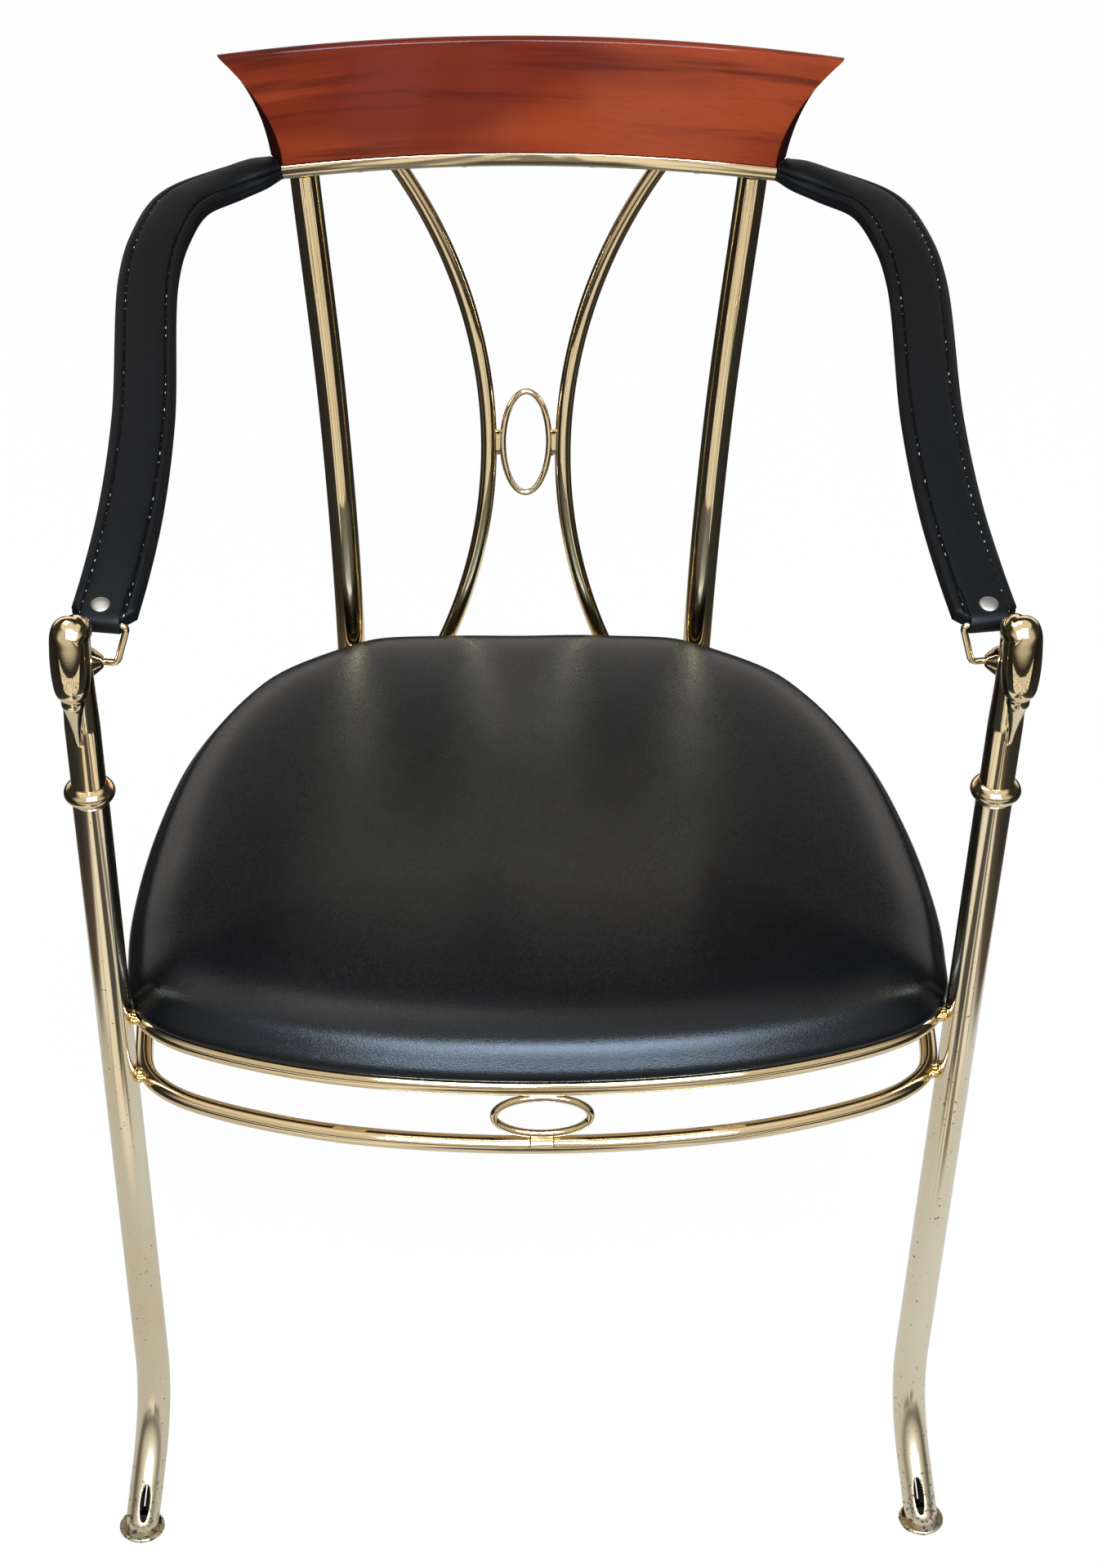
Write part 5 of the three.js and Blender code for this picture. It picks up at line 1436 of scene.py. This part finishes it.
# %% [markdown]
# ## Stitches, staples and brazing
# Waxed thread runs in the grooves beside each panel, and staples hold the leather under the
# board. Both are a repeat along a path, so Geometry Nodes lay them: a curve is cut into even
# steps, and a small rounded stitch is set on each one. Beads of golden braze, where the rings and
# rods touch the tubes, are scattered on given points in the same way.

# %% Node trees that sew and braze


def growing_tree(name, sizes):
    """A geometry tree with named inputs, and the sockets that start and end it."""
    tree = bpy.data.node_groups.new(name, "GeometryNodeTree")
    for label, kind, value in [("Geometry", "NodeSocketGeometry", None)] + sizes:
        socket = tree.interface.new_socket(label, in_out="INPUT", socket_type=kind)
        if value is not None:
            socket.default_value = value
    tree.interface.new_socket("Geometry", in_out="OUTPUT", socket_type="NodeSocketGeometry")
    return tree, tree.nodes.new("NodeGroupInput").outputs, tree.nodes.new("NodeGroupOutput").inputs


def uneven(tree, low, high, seed):
    """A number that differs from place to place."""
    node = add_node(tree, "FunctionNodeRandomValue", Seed=seed)
    feed(tree, socket_of(node.inputs, "Min", "VALUE"), low)
    feed(tree, socket_of(node.inputs, "Max", "VALUE"), high)
    return socket_of(node.outputs, "Value", "VALUE")


def set_on(tree, spots, roundness, size, spread, turns, finish, out):
    """Sets a small ball, stretched to a size, on each spot."""
    ball = add_node(tree, "GeometryNodeMeshIcoSphere", Radius=1.0, Subdivisions=roundness)
    ball = add_node(tree, "GeometryNodeSetShadeSmooth", Geometry=ball.outputs["Mesh"]).outputs[0]
    scaled = add_node(tree, "ShaderNodeVectorMath", {"operation": "SCALE"}, i0=size, Scale=spread)
    inputs = {"Points": spots, "Instance": ball, "Rotation": turns, "Scale": scaled.outputs[0]}
    placed = add_node(tree, "GeometryNodeInstanceOnPoints", **inputs).outputs["Instances"]
    real = add_node(tree, "GeometryNodeRealizeInstances", Geometry=placed).outputs["Geometry"]
    dress = add_node(tree, "GeometryNodeSetMaterial", Geometry=real, Material=finish)
    feed(tree, out["Geometry"], dress.outputs["Geometry"])


print("a tree can now grow small balls")

# %% [markdown]
# Sewing turns the edges of a mesh into a curve and walks it in even steps. Brazing sets a bead on
# each point of a mesh. Both take their sizes from named inputs.

# %% Sewing and brazing
sew, ins, out = growing_tree("sew along a path", [
    ("Step", "NodeSocketFloat", 0.0085),
    ("Stitch length", "NodeSocketFloat", 0.0034),
    ("Thread radius", "NodeSocketFloat", 0.00036),
    ("Least share", "NodeSocketFloat", 0.35),
    ("Finish", "NodeSocketMaterial", None),
])
path = add_node(sew, "GeometryNodeMeshToCurve", Mesh=ins["Geometry"]).outputs["Curve"]
steps = add_node(sew, "GeometryNodeResampleCurve", {"mode": "LENGTH"}, Curve=path, Length=ins["Step"])
evenly = steps.outputs["Curve"]
spots = add_node(sew, "GeometryNodeCurveToPoints", {"mode": "EVALUATED"}, Curve=evenly).outputs
half = times(sew, ins["Stitch length"], 0.5)
size = add_node(sew, "ShaderNodeCombineXYZ", X=ins["Thread radius"], Y=ins["Thread radius"], Z=half)
spread = uneven(sew, ins["Least share"], 1.1, 7)
set_on(sew, spots["Points"], 1, size.outputs[0], spread, spots["Rotation"], ins["Finish"], out)

brazing, ins, out = growing_tree("braze on points", [
    ("Bead radius", "NodeSocketFloat", 0.0017),
    ("Finish", "NodeSocketMaterial", None),
])
spots = add_node(brazing, "GeometryNodeMeshToPoints", Mesh=ins["Geometry"])
angles = [uneven(brazing, 0.0, 3.1, seed) for seed in (3, 4, 5)]
turn = add_node(brazing, "ShaderNodeCombineXYZ", X=angles[0], Y=angles[1], Z=angles[2])
radius = ins["Bead radius"]
size = add_node(brazing, "ShaderNodeCombineXYZ", X=radius, Y=radius, Z=times(brazing, radius, 1.35))
spread = uneven(brazing, 0.7, 1.15, 6)
set_on(brazing, spots.outputs["Points"], 2, size.outputs[0], spread, turn.outputs[0], ins["Finish"], out)
print("sewing:", len(sew.nodes), "nodes, brazing:", len(brazing.nodes), "nodes")

# %% [markdown]
# Both arms are sewn on each side of the panel, down in the groove. The staples run in a row under
# the board, through the leather that is turned round it.

# %% Sew the arms and staple the seat


def grown_from(name, mesh, tree, inputs):
    """A plain mesh from a node tree run on a carrier mesh."""
    carrier = bpy.data.objects.new(name, mesh)
    scene.collection.objects.link(carrier)
    maker = carrier.modifiers.new("maker", "NODES")
    maker.node_group = tree
    for item in tree.interface.items_tree:
        if item.item_type == "SOCKET" and item.in_out == "INPUT" and item.name in inputs:
            maker[item.identifier] = inputs[item.name]
    finished(carrier)
    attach(carrier, "chair")
    print(name + ":", len(carrier.data.polygons), "faces")


def seam_mesh(name, sign):
    verts, edges = [], []
    for side in (-1, 1):
        first = len(verts)
        for share in np.linspace(0.12, behind_tip(2.0), 240):
            a = side * (panel_half_width(share) + 0.6)
            verts.append(arm_point(share, a, ARM_THICKNESS / 2 - 0.45) * (sign, 1, 1))
        edges += [(i, i + 1) for i in range(first, len(verts) - 1)]
    mesh = bpy.data.meshes.new(name)
    mesh.from_pydata([tuple(p) for p in metres(verts)], edges, [])
    return mesh


grown_from("right_arm_stitches", seam_mesh("right_arm_stitches", 1), sew, {"Finish": thread})
grown_from("left_arm_stitches", seam_mesh("left_arm_stitches", -1), sew, {"Finish": thread})
staple_path = seat_path - seat_outward * (BOARD_INSET + 12)
staple_path[:, 2] = board_low - 0.3
staple_mesh = bpy.data.meshes.new("staples")
staple_edges = [(i, (i + 1) % COLUMNS) for i in range(COLUMNS)]
staple_mesh.from_pydata([tuple(p) for p in metres(staple_path)], staple_edges, [])
staple_sizes = {"Finish": steel, "Step": 0.024, "Stitch length": 0.011}
staple_sizes |= {"Thread radius": 0.0006, "Least share": 1.0}
grown_from("seat_staples", staple_mesh, sew, staple_sizes)

# %% [markdown]
# Small beads of braze ring each place where a rod meets a tube, and sit on the corners of the
# plates beside the back oval.

# %% Braze the joints
joints = []


def brazed(contact, away, wide, high, count=9):
    """Points on a small ellipse round a contact, square to the direction between the two pieces."""
    along = unit(np.cross(Z, away))
    for t in np.arange(count) * 2 * math.pi / count:
        for sign in (1, -1):
            joints.append((contact + along * wide * math.cos(t) + Z * high * math.sin(t)) * (sign, 1, 1))


for height in (UPPER_RING, LOWER_RING):
    away = np.array([-math.cos(LEG_TOUCH), math.sin(LEG_TOUCH), 0])
    brazed(np.array([leg_axis_x(height), 0, height]) + away * (LEG_RADIUS + 0.3), away, 4.6, 2.6)
    away = np.array([-math.cos(POST_TOUCH), -math.sin(POST_TOUCH), 0])
    brazed(post_at(height) + away * (POST_RADIUS + 0.3), away, 4.4, 2.6)
brazed(np.array([bow_x(UPPER_RING), RING_BACK_Y + ROD_RADIUS + 0.15, UPPER_RING]), Y, 3.4, 3.0)
for height in (-8, 8):
    for x in (plate_from, plate_to):
        joints.extend((back_centre + bow_lean * height + X * x) * (sign, 1, 1) for sign in (1, -1))
braze_mesh = bpy.data.meshes.new("braze_beads")
braze_mesh.from_pydata([tuple(p) for p in metres(joints)], [], [])
grown_from("braze_beads", braze_mesh, brazing, {"Finish": braze})

# %% [markdown]
# ## What is left of the solids
# Brackets, board, screws and the arms' steel cores are already right in shape. They only need a
# finish. Brass for the brackets, zinc plated steel for the screws, birch plywood for the board.

# %% Finishes for the solids that stay
plywood, tree, shader, place = new_material("birch plywood", "plywood", Roughness=0.75)
lines = noise(tree, stretched(tree, place, (6.0, 90.0, 500.0)), 1.0, 3.0)
birch = mix_colour(tree, ramp(tree, lines, 0.38, 0.66), (0.52, 0.36, 0.2, 1), (0.34, 0.2, 0.1, 1))
feed(tree, shader.inputs["Base Color"], birch)
finish_words = (("screw", steel), ("core", steel), ("board", plywood), ("bracket", brass))
for name, node in nodes.items():
    finish = next((finish for word, finish in finish_words if word in name), None)
    if finish:
        node.data.materials.clear()
        node.data.materials.append(finish)
print("solids that stay:", sum(not n.hide_render for n in nodes.values()))

# %% [markdown]
# ## Studio
# A plain pale floor, a soft light above and a window of two panes behind the camera. The room that
# shows in the metal has a bright ceiling, pale ground in front and behind, and darkness at the
# sides. The background stays white in the picture, and the floor keeps the chair's shadow. To the
# metal alone the floor glows with painted light and shade: painted dark streaks, a painted sunlit
# patch in front, bluer painted daylight on the right, a painted dark patch and a dark far end.

# %% Floor
floor_mesh = bpy.data.meshes.new("floor")
floor_mesh.from_pydata([(-30, -30, 0), (30, -30, 0), (30, 30, 0), (-30, 30, 0)], [], [(0, 1, 2, 3)])
floor = bpy.data.objects.new("floor", floor_mesh)
scene.collection.objects.link(floor)
paper = bpy.data.materials.new("pale paper")
paper.use_nodes = True
tree = paper.node_tree
tree.nodes.remove(tree.nodes["Principled BSDF"])
matt = add_node(tree, "ShaderNodeBsdfDiffuse", Color=(0.72, 0.71, 0.69, 1))
white = add_node(tree, "ShaderNodeEmission", Color=(1, 1, 1, 1), Strength=1.0)
spot = add_node(tree, "ShaderNodeSeparateXYZ", i0=place_on(tree)).outputs
across, along = spot["X"], spot["Y"]
aside, behind = times(tree, across, 1.15), plus(tree, times(tree, along, 0.75), 0.12)
away = maths(tree, "SQRT", plus(tree, times(tree, aside, aside), times(tree, behind, behind)))
slanted = plus(tree, along, maths(tree, "ABSOLUTE", times(tree, across, 0.6)))
# Painted darkness beyond the pale near zone, seen only in the metal.
dim = times(tree, ramp(tree, away, 0.82, 0.95), ramp(tree, slanted, -1.3, -0.9))
# Painted light in the floor the metal sees: bluer painted daylight on the right, a painted sunlit patch in
# front.
greyer, painted_daylight_blue, sunlit = (0.56, 0.57, 0.58, 1), (0.68, 0.72, 0.8, 1), (0.9, 0.88, 0.84, 1)
pale_floor = mix_colour(tree, ramp(tree, across, -0.5, 0.6), greyer, painted_daylight_blue)
pale_floor = mix_colour(tree, ramp(tree, along, -0.5, -0.65), pale_floor, sunlit)
# Painted dark streaks on the floor, seen only in the metal.
streak_noise = noise(tree, stretched(tree, place_on(tree), (4.5, 0.3, 1.0)))
painted_streaks = times(tree, ramp(tree, streak_noise, 0.52, 0.6), times(tree, ramp(tree, along, -0.5, -0.6), 0.8))
# A painted dark patch in front of the chair, seen only in the metal.
narrow = ramp(tree, maths(tree, "ABSOLUTE", across), 0.24, 0.14)
painted_dark_patch = times(tree, narrow, ramp(tree, along, -0.6, -0.7))
shaded = maths(tree, "MAXIMUM", painted_streaks, times(tree, painted_dark_patch, ramp(tree, along, -1.6, -1.2)))
striped_floor = mix_colour(tree, shaded, pale_floor, (0.05, 0.04, 0.03, 1))
near_dark, far_dark = (0.06, 0.038, 0.022, 1), (0.006, 0.005, 0.004, 1)
dark_floor = mix_colour(tree, ramp(tree, away, 0.95, 1.2), near_dark, far_dark)
# Painted reflection: the floor that the metal sees is this painted pattern, and it glows.
painted_floor_in_metal = mix_colour(tree, dim, striped_floor, dark_floor)
floor_glow_in_metal = add_node(tree, "ShaderNodeEmission", Color=painted_floor_in_metal, Strength=1.0)
rays = tree.nodes.new("ShaderNodeLightPath")
in_metal = times(tree, rays.outputs["Is Glossy Ray"], 0.97)
lit = add_node(tree, "ShaderNodeMixShader", i0=in_metal, i1=matt.outputs[0], i2=floor_glow_in_metal.outputs[0])
seen = times(tree, rays.outputs["Is Camera Ray"], 0.97)
blend = add_node(tree, "ShaderNodeMixShader", i0=seen, i1=lit.outputs[0], i2=white.outputs[0])
feed(tree, tree.nodes["Material Output"].inputs["Surface"], blend.outputs[0])
floor_mesh.materials.append(paper)
print("floor:", len(tree.nodes), "nodes")

# %% [markdown]
# The world is white to the camera, a soft grey light to everything else, and a room to the metal:
# a bright ceiling, a pale front and back, and dark between them.

# %% The room around
world = bpy.data.worlds.new("studio")
scene.world = world
world.use_nodes = True
tree = world.node_tree
rays = tree.nodes.new("ShaderNodeLightPath")
direction = tree.nodes.new("ShaderNodeTexCoord").outputs["Generated"]
toward = add_node(tree, "ShaderNodeSeparateXYZ", i0=direction)
height, depth = toward.outputs["Z"], toward.outputs["Y"]
leaned = maths(tree, "SUBTRACT", height, times(tree, depth, 0.17))
ceiling = ramp(tree, leaned, 0.7, 0.88, 0.0, 0.8)
front = times(tree, ramp(tree, depth, -0.15, -0.6), ramp(tree, height, 0.05, 0.28, 0.0, 0.62))
back = times(tree, ramp(tree, depth, 0.5, 0.85), ramp(tree, height, 0.5, 0.34, 0.0, 0.95))
walls = maths(tree, "MAXIMUM", front, back)
room = plus(tree, maths(tree, "MAXIMUM", walls, ceiling), 0.035)
plain = add_node(tree, "ShaderNodeBackground", Color=(1, 1, 1, 1), Strength=0.5)
mirror_room = add_node(tree, "ShaderNodeBackground", Color=(1.0, 0.96, 0.91, 1), Strength=room)
white = add_node(tree, "ShaderNodeBackground", Color=(1, 1, 1, 1), Strength=1.0)
in_metal, seen = rays.outputs["Is Glossy Ray"], rays.outputs["Is Camera Ray"]
inner = add_node(tree, "ShaderNodeMixShader", i0=in_metal, i1=plain.outputs[0], i2=mirror_room.outputs[0])
outer = add_node(tree, "ShaderNodeMixShader", i0=seen, i1=inner.outputs[0], i2=white.outputs[0])
feed(tree, tree.nodes["World Output"].inputs["Surface"], outer.outputs[0])
print("world:", len(tree.nodes), "nodes")

# %% [markdown]
# One weak lamp hangs above. Two bluish panes behind the camera make the bright patches on the
# leather and on the rail.

# %% Lamps


def soft_lamp(name, place, aim, width, height, power, colour=(1, 1, 1)):
    lamp = bpy.data.objects.new(name, bpy.data.lights.new(name, "AREA"))
    lamp.data.shape, lamp.data.size, lamp.data.size_y = "RECTANGLE", width, height
    lamp.data.energy, lamp.data.color = power, colour
    lamp.location = place
    lamp.rotation_euler = (Vector(aim) - Vector(place)).to_track_quat("-Z", "Y").to_euler()
    scene.collection.objects.link(lamp)


soft_lamp("ceiling light", (-0.6, 0.4, 2.6), (0, 0, 0.4), 1.0, 1.0, 6)
for aside in (-0.25, 0.6):
    soft_lamp("window pane", (aside, -1.9, 2.25), (0.1, -0.2, 0.42), 0.75, 1.3, 74, (0.6, 0.78, 1.0))
scene.view_settings.view_transform = "Standard"
